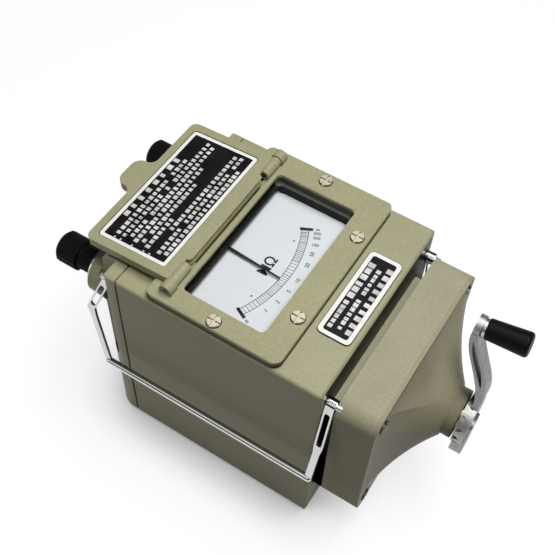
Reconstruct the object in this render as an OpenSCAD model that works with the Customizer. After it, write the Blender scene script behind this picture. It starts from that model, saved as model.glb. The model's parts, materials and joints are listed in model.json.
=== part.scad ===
// Hand-cranked insulation tester: cast case, hinged scale lid, geared generator and cross-coil meter.
// X runs along the case from the terminals to the crank, Y to the back and Z up.
// The origin is the middle of the overall length and width, at the underside of the feet.

/* [Case] */
// length of the main case casting
case_l = 120; // [118:1:124]
// width of the main case casting
case_w = 120; // [119:1:124]
// height of the case top above the table
case_top = 140; // [138:1:146]
// casting wall thickness
wall = 4; // [3.5:0.5:4.5]
// softening radius of the outer case edges
edge_r = 2; // [1:0.5:3]
// height of the rubber feet below the case
foot_h = 2; // [1.5:0.5:4]
// diameter of a rubber foot
foot_d = 14; // [10:1:18]
// distance of a foot from the case side
foot_in = 15; // [14:1:20]
// thickness of the bottom cover
cover_t = 3; // [2.5:0.5:4]
// diameter of the screw bosses inside the castings
boss_d = 11; // [10:0.5:12]

/* [End cap] */
// depth of the terminal end cap
cap_l = 19; // [18:0.5:22]
// corner radius of the cap in plan
cap_r = 17; // [15:0.5:17.5]
// radius along the upper end of the cap
cap_top_r = 9; // [6:1:10]
// radius along the lower end of the cap
cap_foot_r = 6; // [3:1:9]
// length of the spigot that locates the cap in the case
spigot_l = 3; // [2:0.5:4]
// width of the open seam between the cap and the case
seam_w = 1.2; // [0.8:0.1:1.6]
// depth of the open seam
seam_d = 1.6; // [1:0.1:2]
// half width of the wiring space in the cap
cap_room = 34; // [26:1:36]
// width of the grooves that hold the bail legs
groove_w = 6.5; // [6:0.5:7]
// distance of the cap groove from the parting plane
groove_in = 11.5; // [11:0.25:12]
// height at which the cap grooves end
groove_bot = 64; // [56:1:90]

/* [Terminals] */
// sideways place of a terminal
term_y = 41; // [38:0.5:42]
// height of the terminals
term_z = 112.5; // [108:0.5:116]
// length of a terminal boss beyond the cap
term_boss_l = 7; // [6:0.5:12]
// diameter of the bright ring under a terminal
ring_d = 23.4; // [20:0.2:26]
// thickness of that ring
ring_t = 2; // [1:0.5:3]
// diameter of a terminal knob
knob_d = 18.5; // [15:0.5:20]
// length of the wide part of a knob
knob_l = 13.6; // [9:0.2:14]
// diameter of a knob collar
collar_d = 15; // [12:0.5:15]
// length of a knob collar
collar_l = 9; // [5:0.1:9]
// number of grip flutes round a knob
flutes = 20; // [12:1:24]
// diameter of the terminal studs
stud_d = 5; // [4:0.5:6]

/* [Bezel and window] */
// length of the meter bezel
bezel_l = 78; // [76:1:80]
// width of the meter bezel
bezel_w = 118; // [112:1:118]
// height of the bezel above the case top
bezel_t = 5; // [4.5:0.5:6]
// place of the bezel along the case
bezel_x = -4; // [-5:0.5:-3]
// corner radius of the bezel
bezel_r = 5; // [3:0.5:8]
// length of the window
window_l = 48; // [46:1:49]
// width of the window
window_w = 91; // [88:1:92]
// corner radius of the window
window_r = 3; // [2:0.5:4]
// sideways place of the window, to the front of the middle
window_y = -1.8; // [-2:0.1:0]
// thickness of the window glass
glass_t = 2; // [1.5:0.5:2.5]
// length of the plate on the case top
name_l = 19; // [14:1:20]
// width of the plate on the case top
name_w = 58; // [40:1:70]
// thickness of the plates
plate_t = 0.8; // [0.5:0.1:1]

/* [Lid] */
// distance from the window to the hinge axis
hinge_off = 5; // [4.5:0.5:6]
// thickness of the lid
lid_t = 5; // [4:0.5:5]
// height of the lid face from the hinge axis
lid_face = 2.1; // [1.8:0.1:2.4]
// lid overlap beside the window
lid_side = 3; // [2:0.5:3]
// lid overlap past the far end of the window
lid_end = 1.4; // [1:0.2:3]
// slope of the lid when it lies open, degrees
lid_tilt = 3.2; // [1:0.2:3.4]
// corner radius of the lid
lid_r = 4; // [2:0.5:6]
// diameter of the lid hinge barrels
barrel_d = 6; // [5.6:0.2:6.4]
// width of each lid hinge ear
ear_w = 12.5; // [8:0.5:18]
// length of the thumb tab
tab_l = 6.5; // [5:0.5:12]
// width of the thumb tab
tab_w = 20; // [16:1:28]
// diameter of the hinge pin
hinge_pin_d = 3; // [2.5:0.1:3.2]

/* [Dial and movement] */
// depth of the dial below the case top
dial_drop = 8; // [7.5:0.5:9]
// thickness of the dial plate
dial_t = 1; // [0.5:0.1:1.2]
// thickness of the plate under the dial
support_t = 2; // [1.5:0.5:3]
// distance of the pointer axis past the parting plane
pivot_in = 3; // [2:0.5:4]
// sideways place of the pointer's pivot
pivot_y = -4.2; // [-5:0.1:0]
// length of the pointer from its axis
pointer_l = 68.5; // [55:0.5:74]
// angle of the pointer at rest, degrees
pointer_rest = -3.6; // [-20:0.2:20]
// radius of the fixed core inside the moving coils
core_r = 6; // [5:0.5:6]
// height of the moving coils
coil_h = 22; // [18:1:24]
// angle between the crossed coils, degrees
coil_cross = 60; // [50:5:70]

/* [Crank end] */
// width of the slot between case and crank housing
slot_w = 6; // [6:0.5:8]
// length of the crank housing
house_l = 20; // [20:0.5:24]
// width of the crank housing
house_w = 112; // [110:1:114]
// height of the housing underside
house_bot = 29; // [28:1:33]
// drop of the housing top below the case top
house_drop = 10; // [8:1:11]
// corner radius of the housing
house_r = 10; // [8:1:11]
// height of the web that closes the slot below
web_h = 5; // [3:1:5]
// inset of the neck between case and housing
neck_in = 12; // [11:1:13]
// thickness of the bell flange
flange_t = 2.5; // [2.5:0.5:4]
// length of the concave part of the bell
bell_l = 21; // [18:0.5:26]
// width of the flat rim round the bell
bell_rim = 3; // [2:0.5:6]
// hollowness of the bell curve
bell_sag = 3; // [1.5:0.5:4]
// diameter of the bell boss
boss_round_d = 28; // [26:1:32]
// length of the bell boss
boss_round_l = 5.6; // [4:0.2:8]
// height of the crank axis
crank_z = 85; // [84:0.5:87]

/* [Crank] */
// radius from the crank axis to the grip axis
crank_r = 60.5; // [56:0.5:64]
// angle of the crank from level, degrees
crank_ang = 75; // [0:5:90]
// diameter of the crank hub
hub_d = 29; // [27:0.5:32]
// thickness of the crank hub
hub_t = 6; // [5:0.5:8]
// number of notches round the hub edge
notches = 14; // [10:1:16]
// backward set of the lever between hub and grip
joggle = 15; // [10:0.5:15]
// width of the lever at the grip
arm_w = 12; // [10:0.5:14]
// thickness of the lever
arm_t = 3.4; // [3:0.2:5]
// length of the grip
grip_l = 21.8; // [18:0.2:30]
// grip diameter next to the lever
grip_d0 = 11.2; // [10.4:0.2:14]
// grip diameter at the free end
grip_d1 = 13.2; // [12:0.2:16]
// outward lean of the grip, degrees
grip_lean = 7; // [0:1:8]
// diameter of the crank shaft
shaft_d = 8; // [7:0.5:9]

/* [Gears] */
// module of the gear teeth
gear_m = 1; // [0.98:0.01:1.01]
// teeth on the two large wheels
wheel_n = 48; // [46:2:48]
// teeth on the two pinions
pinion_n = 16; // [16:1:16]
// face width of the large wheels
gear_t = 5; // [4:0.5:5.5]
// backlash measured on the pitch circle
backlash = 0.25; // [0.2:0.05:0.4]
// height from the rotor axis up to the crank axis
axis_drop = 39; // [38:0.5:40]

/* [Generator] */
// outer diameter of the stator
stator_d = 58; // [56:1:60]
// inner diameter of the stator ring
stator_in = 46; // [45:0.5:46]
// length of the stator stack
stator_l = 30; // [28:1:31]
// diameter of the rotor magnet
magnet_d = 28; // [24:1:30]
// air gap at the poles
air_gap = 0.5; // [0.3:0.1:1]
// diameter of the rotor shaft
rotor_d = 5; // [4:0.5:6]

/* [Bails] */
// outward slope of a hanging bail, degrees
bail_tilt = 11.5; // [11:0.5:15]
// length of a bail leg below its pin
bail_drop = 61.5; // [54:0.5:68]
// width of the flat bail legs
strap_w = 5; // [4.5:0.25:5]
// width of the legs below the slots
strap_low = 3.8; // [3:0.1:4.5]
// thickness of the flat bail legs
strap_t = 1.6; // [1.2:0.1:1.6]
// diameter of the bail rod
rod_d = 4; // [4:0.5:6]
// length of the eye in a leg
eye_l = 20; // [14:1:22]
// length of the slot in the leg at the crank end
eye_long = 27; // [20:1:30]
// width of the eye in a leg
eye_w = 3; // [1.6:0.2:3.2]
// outward bow of the leg beside the terminal
leg_bow = 9.5; // [0:0.5:10]
// inward set of the leg ends
leg_in = 0.8; // [0:0.2:3]
// inward set of the rod at the terminal end
rod_in = 3.3; // [0:0.1:4]
// diameter of the bail pins
pin_d = 3.5; // [3:0.25:3.5]

/* [Fits] */
// radial clearance of turning pieces
run = 0.06; // [0.04:0.01:0.1]
// radial clearance of threaded and pressed pieces
seat = 0.03; // [0.02:0.01:0.05]
// gap round located castings and plates
slip = 0.2; // [0.1:0.05:0.3]
// gap between moving pieces that must not touch
clear = 0.4; // [0.3:0.05:0.5]

/* [Hidden] */
$fn = 64;
paint = [0.60, 0.59, 0.46];
bright = [0.85, 0.85, 0.86];
steel = [0.62, 0.63, 0.65];
brass = [0.78, 0.62, 0.30];
copper = [0.72, 0.40, 0.22];
black = [0.06, 0.06, 0.06];
white = [0.93, 0.94, 0.95];
board_c = [0.12, 0.32, 0.18];
magnet_c = [0.28, 0.28, 0.30];

// overlap of joined shapes and overshoot of cuts
lap = 1;

// the case sits so that the whole length, from the knobs to the grip, is centred on the origin
bush_flange = 2;
hub_gap = 1;
grip_gap = 2.6;
grip_round = 1.8;
grip_x0 = arm_t / 2 + grip_gap;
left_reach = cap_l + term_boss_l + ring_t + bush_flange + clear + collar_l + knob_l;
hub_reach = slot_w + house_l + flange_t + bell_l + boss_round_l + hub_gap + hub_t;
grip_reach = (grip_x0 + grip_l - grip_round) * cos(grip_lean) + (grip_d1 / 2 - grip_round) * sin(grip_lean)
    + grip_round;
right_reach = hub_reach - arm_t / 2 - joggle + grip_reach;
case_mid = (left_reach - right_reach) / 2;
case_x0 = case_mid - case_l / 2;
case_x1 = case_mid + case_l / 2;
bez_x = case_mid + bezel_x;
yw = case_w / 2;
case_bot = foot_h;
in_y = yw - wall;
in_top = case_top - wall;
cover_top = case_bot + cover_t;
cap_end = case_x0 - cap_l;
groove_x = case_x0 - groove_in;
cap_roof = 11;
staff_room = 15;

// places of the screws and the bosses that hold them
cap_screw_y = 24;
cap_screw_drop = 5;
cap_screw_in = 6;
cap_screw_up = 22;
cap_head_in = 9;
cap_boss_l = 15;
cover_screw_in = 4.5;
cover_screw_left = 7;
cover_boss_h = 14;
cover_head_h = 1.75;
bez_boss_h = 3.5;
bez_boss_d = 9;
neck_screw_in = 18;
bell_head_in = 1.5;
bell_screw_l = 13;

// screw sizes shared by the assembly
screw_d = 4;
small_d = 3;
head_d = 7;
head_h = 2.4;
cross_w = 1.1;
cross_d = 1.2;

// bezel, window and lid
bez_top = case_top + bezel_t;
win_z = case_top + bezel_t - glass_t;
frame_top = win_z - glass_t;
room_l = window_l + 8;
room_w = window_w + 9;
frame_l = room_l - 2;
frame_w = room_w - 3;
hinge_x = bez_x - window_l / 2 - hinge_off;
hinge_z = bez_top + lid_face + clear - 0.1;
lid_half = window_w / 2 + lid_side;
lid_reach = window_l + hinge_off + lid_end;
knuckle_w = 5.5;
knuckle_r = barrel_d / 2 + 0.6;
recess_z = case_top + 1.4;
bez_screw_in = 5.3;
bez_screw_mid = window_y / 2;
bez_screw_y = bezel_w / 2 - bez_screw_in;
bez_screw_x = bez_x + bezel_l / 2 - 6;
bez_screw_side = 29.5;
bez_head_z = bez_top - 0.8;

// dial and movement
dial_z = case_top - dial_drop;
support_z = dial_z - dial_t - support_t;
pointer_z = dial_z + 1.4;
pointer_t = 0.8;
pivot_x = case_x0 - pivot_in;
dial_l = room_l + 4;
dial_x0 = bez_x - dial_l / 2;
support_x0 = dial_x0 - 9;
support_x1 = dial_x0 + dial_l + 8;
support_w = room_w - 6;
pillar_y = 40;
pillar_d = 7;
coil_top = support_z - 7;
coil_bot = coil_top - coil_h;
coil_w = 3;
coil_wind = 1.6;
coil_in = core_r + 1;
coil_out = coil_in + coil_wind;
pole_in = coil_out + 0.9;
pole_out = pole_in + 2.5;
pole_z0 = coil_bot + 3.5;
pole_z1 = coil_top - 3.5;
yoke_x = pivot_x + 25;
yoke_l = 10;
back_x = yoke_x + yoke_l;
back_t = 5;
arm_gap = 2;
bridge_t = 3;
staff_d = 2;

// crank end
house_x0 = case_x1 + slot_w;
house_x1 = house_x0 + house_l;
house_top = case_top - house_drop;
house_h = house_top - house_bot;
house_mid = (house_top + house_bot) / 2;
neck_w = house_w - 2 * neck_in;
neck_z0 = house_bot + 6;
neck_z1 = house_top - 14;
neck_wall = 6;
house_left = 3;
corner_in = 9;
bell_x0 = house_x1 + flange_t;
bell_x1 = bell_x0 + bell_l;
boss_x1 = bell_x1 + boss_round_l;
boss_rr = boss_round_d / 2;
bell_y = house_w / 2 - bell_rim;
bell_up = house_top - bell_rim - crank_z;
bell_dn = crank_z - house_bot - bell_rim;
bell_corner = bell_y + 8;
bush_d = shaft_d + 6;
bush_x0 = bell_x1 - 8;

// gear train in the housing
gear_a = gear_m * (wheel_n + pinion_n) / 2;
rotor_z = crank_z - axis_drop;
idler_z = crank_z - axis_drop / 2;
idler_y = sqrt(gear_a * gear_a - axis_drop * axis_drop / 4);
mesh_1 = atan2(idler_z - crank_z, idler_y);
mesh_2 = atan2(rotor_z - idler_z, -idler_y);
low_x = house_x0 + house_left + 2;
high_x = low_x + gear_t + 2;
post_d = 6;
post_boss = 6;
pinion_over = 0.5;
press_angle = 20;
add_k = 0.95;
ded_k = 1.25;
flank_n = 4;

// generator in the main case
gen_x1 = case_x1 - wall;
bracket_t = 5;
lip_t = 5;
stator_x1 = gen_x1 - bracket_t - lip_t;
stator_x0 = stator_x1 - stator_l;
gen_x0 = stator_x0 - bracket_t - lip_t;
pole_w = 12;
tie_r = (stator_d + stator_in) / 4;
tie_d = 3;
gen_bush_d = rotor_d + 4;

// bails
pin_side = 7.5;
pin_drop = 4;
pin_seat = 2.5;
pin_deep = 4;
pin_head = 1.2;
ear_rim = 3.45;
pin_y = yw - pin_side;
pin_z = house_top - pin_drop;
eye_r = pin_d / 2 + run + strap_t;
leg_r_x = case_x1 + slot_w / 2;
leg_l_x = groove_x;
eye_top = 4.5;

// terminals
ring_x = cap_end - term_boss_l;
term_flare = 1;
bush_r = 4.5;
knob_x1 = ring_x - ring_t - bush_flange - clear;
knob_x0 = knob_x1 - collar_l - knob_l;
pocket_r = 8;
pocket_x = cap_end + 5;
nut_t = 4;

// crank
hub_x0 = boss_x1 + hub_gap;
hub_x1 = hub_x0 + hub_t;
arm_x = hub_x1 - arm_t / 2;
tip_x = arm_x - joggle;
pin_grip_d = 5;
screw_in = 3;
crank_head = 10;

// electronics
board_in = 8;
board_x0 = case_x0 + board_in;
board_l = 52;
board_w = 80;
board_t = 1.6;
board_z = cover_top + 9;
post_r = 3;
can_d = 18;
can_h = 36;
can_x = board_x0 + can_d / 2 + 7;
can_y = board_w / 2 - can_d;
res_half = 9;
res_r = 4;
res_lift = 5;
res_pitch = 2 * res_half + 7;
res_x = board_x0 + board_l - 14;
lead_w = 2;

// flat and solid helpers
module rrect(l, w, r) {
    square([l - 2 * r, w], center = true);
    square([l, w - 2 * r], center = true);
    for (sx = [-1, 1], sy = [-1, 1])
        translate([sx * (l / 2 - r), sy * (w / 2 - r)])
            circle(r);
}

module box(x0, x1, y0, y1, z0, z1) {
    translate([x0, y0, z0])
        cube([x1 - x0, y1 - y0, z1 - z0]);
}

module xcyl(x0, x1, r, y = 0, z = 0) {
    translate([x0, y, z])
        rotate([0, 90, 0])
            cylinder(h = x1 - x0, r = r);
}

module ycyl(y0, y1, r, x, z) {
    translate([x, y0, z])
        rotate([-90, 0, 0])
            cylinder(h = y1 - y0, r = r);
}

module zcyl(z0, z1, r, x, y) {
    translate([x, y, z0])
        cylinder(h = z1 - z0, r = r);
}

// a flat outline in Y and Z, drawn out along X
module along_x(x0, x1) {
    translate([x0, 0, 0])
        rotate([90, 0, 90])
            linear_extrude(x1 - x0)
                children();
}

// a flat outline in X and Z, drawn out along Y
module along_y(y0, y1) {
    translate([0, y1, 0])
        rotate([90, 0, 0])
            linear_extrude(y1 - y0)
                children();
}

module plate(x, z0, z1, l, w, r, y = 0) {
    translate([x, y, z0])
        linear_extrude(z1 - z0)
            rrect(l, w, r);
}

// a block with all of its edges softened
module soft_block(x0, x1, hy, z0, z1, r) {
    intersection() {
        plate((x0 + x1) / 2, z0, z1, x1 - x0, 2 * hy, r);
        along_x(x0, x1)
            translate([0, (z0 + z1) / 2])
                rrect(2 * hy, z1 - z0, r);
        along_y(-hy, hy)
            translate([(x0 + x1) / 2, (z0 + z1) / 2])
                rrect(x1 - x0, z1 - z0, r);
    }
}

// a cheese-head screw along +Z with its seat at z = 0
module screw(d, l, hd, hh) {
    difference() {
        union() {
            zcyl(0, hh, hd / 2, 0, 0);
            zcyl(-l, 0, d / 2, 0, 0);
        }
        box(-hd, hd, -cross_w / 2, cross_w / 2, hh - cross_d, hh + cross_d);
    }
}

// cast parts of the case
module cap_screw_places() {
    for (s = [-1, 1]) {
        translate([0, s * cap_screw_y, in_top - cap_screw_drop])
            children();
        translate([0, s * (in_y - cap_screw_in), case_bot + cap_screw_up])
            children();
    }
}

module cover_screw_places() {
    for (s = [-1, 1]) {
        translate([case_x1 - wall - cover_screw_in, s * (in_y - cover_screw_in), 0])
            children();
        translate([case_x0 + spigot_l + cover_screw_left, s * (in_y - cover_screw_in), 0])
            children();
    }
}

module bezel_screw_places() {
    for (s = [-1, 1]) {
        translate([bez_x, bez_screw_mid + s * bez_screw_y, 0])
            children();
        translate([bez_screw_x, bez_screw_mid + s * bez_screw_side, 0])
            children();
    }
}

module neck_screw_places() {
    for (s = [-1, 1], z = [neck_z0 + neck_screw_in, neck_z1 - neck_screw_in])
        translate([0, s * (neck_w / 2 - neck_wall / 2), z])
            children();
}

module tie_places() {
    for (a = [45 : 90 : 315])
        translate([0, tie_r * cos(a), rotor_z + tie_r * sin(a)])
            children();
}

module main_case() {
    color(paint) difference() {
        union() {
            difference() {
                intersection() {
                    soft_block(case_x0 - 2 * edge_r, case_x1, yw, case_bot, case_top, edge_r);
                    box(case_x0, case_x1, -yw, yw, case_bot, case_top);
                }
                box(case_x0 - wall, case_x1 - wall, -in_y, in_y, case_bot - wall, in_top);
            }
            cover_screw_places()
                zcyl(cover_top, cover_top + cover_boss_h, boss_d / 2, 0, 0);
            bezel_screw_places()
                zcyl(in_top - bez_boss_h, in_top + lap, bez_boss_d / 2, 0, 0);
            cap_screw_places()
                xcyl(case_x0 + spigot_l + slip, case_x0 + cap_boss_l, boss_d / 2);
        }
        plate(bez_x, in_top - 2 * wall, case_top + wall, room_l, room_w, window_r, window_y);
        cover_screw_places()
            zcyl(cover_top - lap, cover_top + cover_boss_h - small_d, small_d / 2 + seat, 0, 0);
        bezel_screw_places()
            zcyl(in_top - bez_boss_h + lap, case_top + lap, small_d / 2 + seat, 0, 0);
        cap_screw_places()
            xcyl(case_x0 - lap, case_x0 + cap_boss_l - screw_d / 2, screw_d / 2 + seat);
        neck_screw_places()
            xcyl(case_x1 - 2 * wall, case_x1 + lap, screw_d / 2 + seat);
        tie_places()
            xcyl(case_x1 - 2 * wall, case_x1 - lap, tie_d / 2 + seat);
        xcyl(case_x1 - 2 * wall, case_x1 + lap, rotor_d, 0, rotor_z);
        for (s = [-1, 1])
            xcyl(case_x1 - pin_seat, case_x1 + lap, pin_d / 2 + seat, s * pin_y, pin_z);
    }
}

module cap_plan() {
    translate([cap_end + cap_r, -yw])
        square([cap_l - cap_r, case_w]);
    translate([cap_end, -(yw - cap_r)])
        square([cap_l, case_w - 2 * cap_r]);
    for (s = [-1, 1])
        translate([cap_end + cap_r, s * (yw - cap_r)])
            circle(cap_r);
}

module cap_side() {
    top_x = cap_end + cap_top_r;
    foot_x = cap_end + cap_foot_r;
    top_z = case_top - cap_top_r;
    foot_z = case_bot + cap_foot_r;
    translate([cap_end, foot_z])
        square([cap_l, top_z - foot_z]);
    translate([top_x, top_z])
        square([case_x0 - top_x, cap_top_r]);
    translate([foot_x, case_bot])
        square([case_x0 - foot_x, cap_foot_r]);
    translate([top_x, top_z])
        circle(cap_top_r);
    translate([foot_x, foot_z])
        circle(cap_foot_r);
}

module cap_body() {
    intersection() {
        translate([0, 0, case_bot])
            linear_extrude(case_top - case_bot)
                cap_plan();
        along_y(-yw, yw)
            cap_side();
        along_x(cap_end, case_x0)
            translate([0, (case_top + case_bot) / 2])
                rrect(case_w, case_top - case_bot, edge_r);
    }
}

// notch for a bail eye in the cap's upper corner, and the groove below it for the leg
module bail_groove() {
    deep = pin_y - eye_r - clear;
    right = groove_x + groove_w / 2;
    box(cap_end - lap, right, -yw - lap, -deep, pin_z - eye_r - 1.5, case_top + lap);
    box(groove_x - groove_w / 2, right, -yw - lap, -pin_y - 1.5, groove_bot, pin_z);
    ycyl(-yw - lap, -pin_y - 1.5, groove_w / 2, groove_x, groove_bot);
    xcyl(groove_x, right + pin_deep, pin_d / 2 + seat, -pin_y, pin_z);
}

// open seam where the cap meets the case, along its sides and top
module cap_seam() {
    difference() {
        box(case_x0 - seam_w, case_x0 + lap, -yw - lap, yw + lap, case_bot - lap, case_top + lap);
        box(case_x0 - 2 * seam_w, case_x0 + 2 * lap, -yw + seam_d, yw - seam_d, case_bot - 2 * lap,
            case_top - seam_d);
    }
}

module end_cap() {
    color(paint) difference() {
        union() {
            cap_body();
            for (s = [-1, 1])
                translate([ring_x, s * term_y, term_z])
                    rotate([0, 90, 0])
                        cylinder(h = term_boss_l + 6, r1 = ring_d / 2 + 2.3,
                            r2 = ring_d / 2 + 2.3 + term_flare);
            box(case_x0 - lap, case_x0 + spigot_l, -in_y + slip, in_y - slip, case_bot, in_top - slip);
        }
        box(cap_end + wall, case_x0 + spigot_l + lap, -cap_room, cap_room, case_bot + 2 * wall,
            in_top - cap_roof);
        box(cap_end + wall, case_x0 + spigot_l + lap, pivot_y - staff_room, pivot_y + staff_room,
            in_top - cap_roof - lap, in_top - slip);
        for (s = [-1, 1]) {
            xcyl(ring_x - lap, pocket_x + lap, bush_r + seat, s * term_y, term_z);
            xcyl(pocket_x, case_x0 + spigot_l + lap, pocket_r, s * term_y, term_z);
        }
        bail_groove();
        mirror([0, 1, 0])
            bail_groove();
        cap_seam();
        cap_screw_places() {
            xcyl(cap_end - cap_r, case_x0 + spigot_l + lap, screw_d / 2 + slip);
            xcyl(cap_end - cap_r, cap_end + cap_head_in, head_d / 2 + slip);
        }
    }
}

// ears that carry the bail pins, inside the housing's outline unless the case is much wider than it
module pin_ears() {
    inner = house_w / 2 - house_r;
    outer = pin_y + ear_rim;
    x0 = house_x0 + slip;
    x1 = house_x0 + house_left - slip;
    intersection() {
        along_x(x0, x1)
            translate([0, house_mid])
                rrect(2 * outer, house_h - slip, house_r);
        for (s = [-1, 1])
            translate([0, s * (inner + outer) / 2, 0])
                box(x0, x1, (inner - outer) / 2, (outer - inner) / 2, pin_z - 2 * ear_rim, house_top);
    }
}

module crank_housing() {
    color(paint) difference() {
        union() {
            difference() {
                along_x(house_x0, house_x1)
                    translate([0, house_mid])
                        rrect(house_w, house_h, house_r);
                along_x(house_x0 + house_left, house_x1 + lap)
                    translate([0, house_mid])
                        rrect(house_w - 2 * wall, house_h - 2 * wall, house_r - wall);
            }
            for (s = [-1, 1], z = [house_bot + corner_in, house_top - corner_in])
                xcyl(house_x0 + lap, house_x1, boss_d / 2, s * (house_w / 2 - corner_in), z);
            box(case_x1, house_x0 + lap, -neck_w / 2, neck_w / 2, neck_z0, neck_z1);
            intersection() {
                box(case_x1, house_x0 + lap, -yw, yw, house_bot, house_bot + web_h);
                along_x(case_x1, house_x0 + lap)
                    translate([0, house_mid])
                        rrect(house_w, house_h, house_r);
            }
            xcyl(house_x0 + lap, low_x - clear, post_boss, idler_y, idler_z);
            pin_ears();
        }
        box(case_x1 - lap, house_x0, -neck_w / 2 + neck_wall, neck_w / 2 - neck_wall, neck_z0 + neck_wall,
            neck_z1 - neck_wall);
        xcyl(case_x1 - lap, low_x + lap, post_d / 2 + seat, idler_y, idler_z);
        xcyl(case_x1 - lap, low_x + lap, rotor_d, 0, rotor_z);
        neck_screw_places()
            xcyl(case_x1 - lap, house_x0 + house_left - lap, screw_d / 2 + seat);
        for (s = [-1, 1])
            xcyl(house_x0 - lap, house_x0 + pin_seat, pin_d / 2 + seat, s * pin_y, pin_z);
        for (s = [-1, 1], z = [house_bot + corner_in, house_top - corner_in])
            xcyl(house_x1 - bell_screw_l - lap, house_x1 + lap, screw_d / 2 + seat,
                s * (house_w / 2 - corner_in), z);
    }
}

// centre and radius of the hollow arc between two points of the bell profile
function arc_r(p, q, s) = (pow(norm(q - p) / 2, 2) + s * s) / (2 * s);
function arc_c(p, q, s) = (p + q) / 2 + [p[1] - q[1], q[0] - p[0]] / norm(q - p) * (arc_r(p, q, s) - s);

// half of a bell profile: the area under a hollow arc from r0 at the flange to r1 at the boss
module bell_half(r0, r1) {
    p = [0, r0];
    q = [bell_l, r1];
    difference() {
        square([bell_l, r0]);
        translate(arc_c(p, q, bell_sag))
            circle(arc_r(p, q, bell_sag), $fn = 128);
    }
}

module bell_shape() {
    hy = bell_y;
    funnel_r = boss_rr + 1.2;
    square_r = funnel_r + 0.9;
    translate([bell_x0, 0, crank_z])
        intersection() {
            along_y(-hy, hy) {
                bell_half(bell_up, square_r);
                mirror([0, 1])
                    bell_half(bell_dn, square_r);
            }
            translate([0, 0, -bell_dn])
                linear_extrude(bell_up + bell_dn) {
                    bell_half(hy, square_r);
                    mirror([0, 1])
                        bell_half(hy, square_r);
                }
            rotate([0, 90, 0])
                rotate_extrude()
                    mirror([1, -1])
                        bell_half(bell_corner, funnel_r);
        }
}

module end_bell() {
    corner_y = house_w / 2 - corner_in;
    color(paint) difference() {
        union() {
            along_x(house_x1, bell_x0)
                translate([0, house_mid])
                    rrect(house_w, house_h, house_r);
            bell_shape();
            xcyl(bell_x1 - lap, boss_x1, boss_rr, 0, crank_z);
        }
        translate([house_x1 - lap, 0, crank_z])
            rotate([0, 90, 0])
                cylinder(h = bush_x0 - house_x1 + lap, r1 = bell_up - 3, r2 = bush_d / 2);
        xcyl(house_x1, boss_x1 + lap, bush_d / 2 + seat, 0, crank_z);
        for (s = [-1, 1], z = [house_bot + corner_in, house_top - corner_in]) {
            xcyl(house_x1 - lap, bell_x1, screw_d / 2 + slip, s * corner_y, z);
            xcyl(bell_x0 - bell_head_in, bell_x1, head_d / 2 + clear, s * corner_y, z);
        }
    }
}

module bottom_cover() {
    color(paint) difference() {
        box(case_x0 + spigot_l + slip, case_x1 - wall - slip, -in_y + slip, in_y - slip, case_bot, cover_top);
        cover_screw_places() {
            zcyl(case_bot - lap, cover_top + lap, small_d / 2 + slip, 0, 0);
            translate([0, 0, case_bot - 0.01])
                cylinder(h = cover_head_h + 0.05, r1 = small_d + slip, r2 = small_d / 2 + slip);
        }
        foot_places()
            zcyl(case_bot - lap, cover_top + lap, foot_d / 6 + seat, 0, 0);
        board_places()
            zcyl(cover_top - 1.5, cover_top + lap, small_d / 2 + seat, 0, 0);
    }
}

module foot_places() {
    for (sx = [-1, 1], sy = [-1, 1])
        translate([case_mid + sx * (case_l / 2 - foot_in) + spigot_l / 2, sy * (yw - foot_in), 0])
            children();
}

module feet() {
    color(black) foot_places() {
        cylinder(h = foot_h, r1 = foot_d / 2 - lap, r2 = foot_d / 2);
        zcyl(foot_h - 0.5, cover_top - 0.5, foot_d / 6, 0, 0);
    }
}

// meter window
module knuckle_places() {
    for (s = [-1, 1])
        translate([0, s * (lid_half + clear + knuckle_w / 2), 0])
            children();
}

module bezel() {
    color(paint) difference() {
        union() {
            intersection() {
                soft_block(bez_x - bezel_l / 2, bez_x + bezel_l / 2, bezel_w / 2, case_top - 2 * bezel_t,
                    bez_top, 1);
                plate(bez_x, case_top, bez_top, bezel_l, bezel_w, bezel_r);
            }
            knuckle_places() {
                ycyl(-knuckle_w / 2, knuckle_w / 2, knuckle_r, hinge_x, hinge_z);
                box(hinge_x - knuckle_r, hinge_x + knuckle_r, -knuckle_w / 2, knuckle_w / 2, bez_top - lap,
                    hinge_z);
            }
        }
        plate(bez_x, case_top - lap, bez_top + lap, window_l, window_w, window_r, window_y);
        plate(bez_x, case_top - lap, win_z, frame_l + 2 * slip, frame_w + 2 * slip, window_r, window_y);
        box(hinge_x - bezel_l, hinge_x, -lid_half - clear, lid_half + clear, recess_z, bez_top + lap);
        ycyl(-lid_half - clear, lid_half + clear, barrel_d / 2 + clear, hinge_x, hinge_z);
        ycyl(-bezel_w, bezel_w, hinge_pin_d / 2 + seat, hinge_x, hinge_z);
        bezel_screw_places() {
            zcyl(case_top - lap, bez_top + lap, small_d / 2 + slip, 0, 0);
            zcyl(bez_head_z, bez_top + lap, head_d / 2 + clear, 0, 0);
        }
    }
}

module window_frame() {
    wall_in = 4.5;
    lift = pointer_z + pointer_t + 1.5;
    color(black) translate([0, window_y, 0]) difference() {
        plate(bez_x, dial_z, frame_top, frame_l, frame_w, window_r);
        plate(bez_x, dial_z - lap, frame_top + lap, frame_l - 2 * wall_in, frame_w - 2 * wall_in, window_r);
        plate(bez_x, frame_top - 3, frame_top + lap, frame_l - wall_in, frame_w - wall_in, window_r);
        box(bez_x - frame_l, bez_x - frame_l / 2 + wall_in + lap, -frame_w / 2 + wall_in,
            frame_w / 2 - wall_in, dial_z - lap, lift);
    }
}

module glass() {
    color([0.80, 0.88, 0.90, 0.35])
        plate(bez_x, frame_top, win_z, frame_l, frame_w, window_r, window_y);
}

module dial() {
    color(white)
        plate(dial_x0 + dial_l / 2, dial_z - dial_t, dial_z, dial_l, frame_w, 1, window_y);
}

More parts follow.
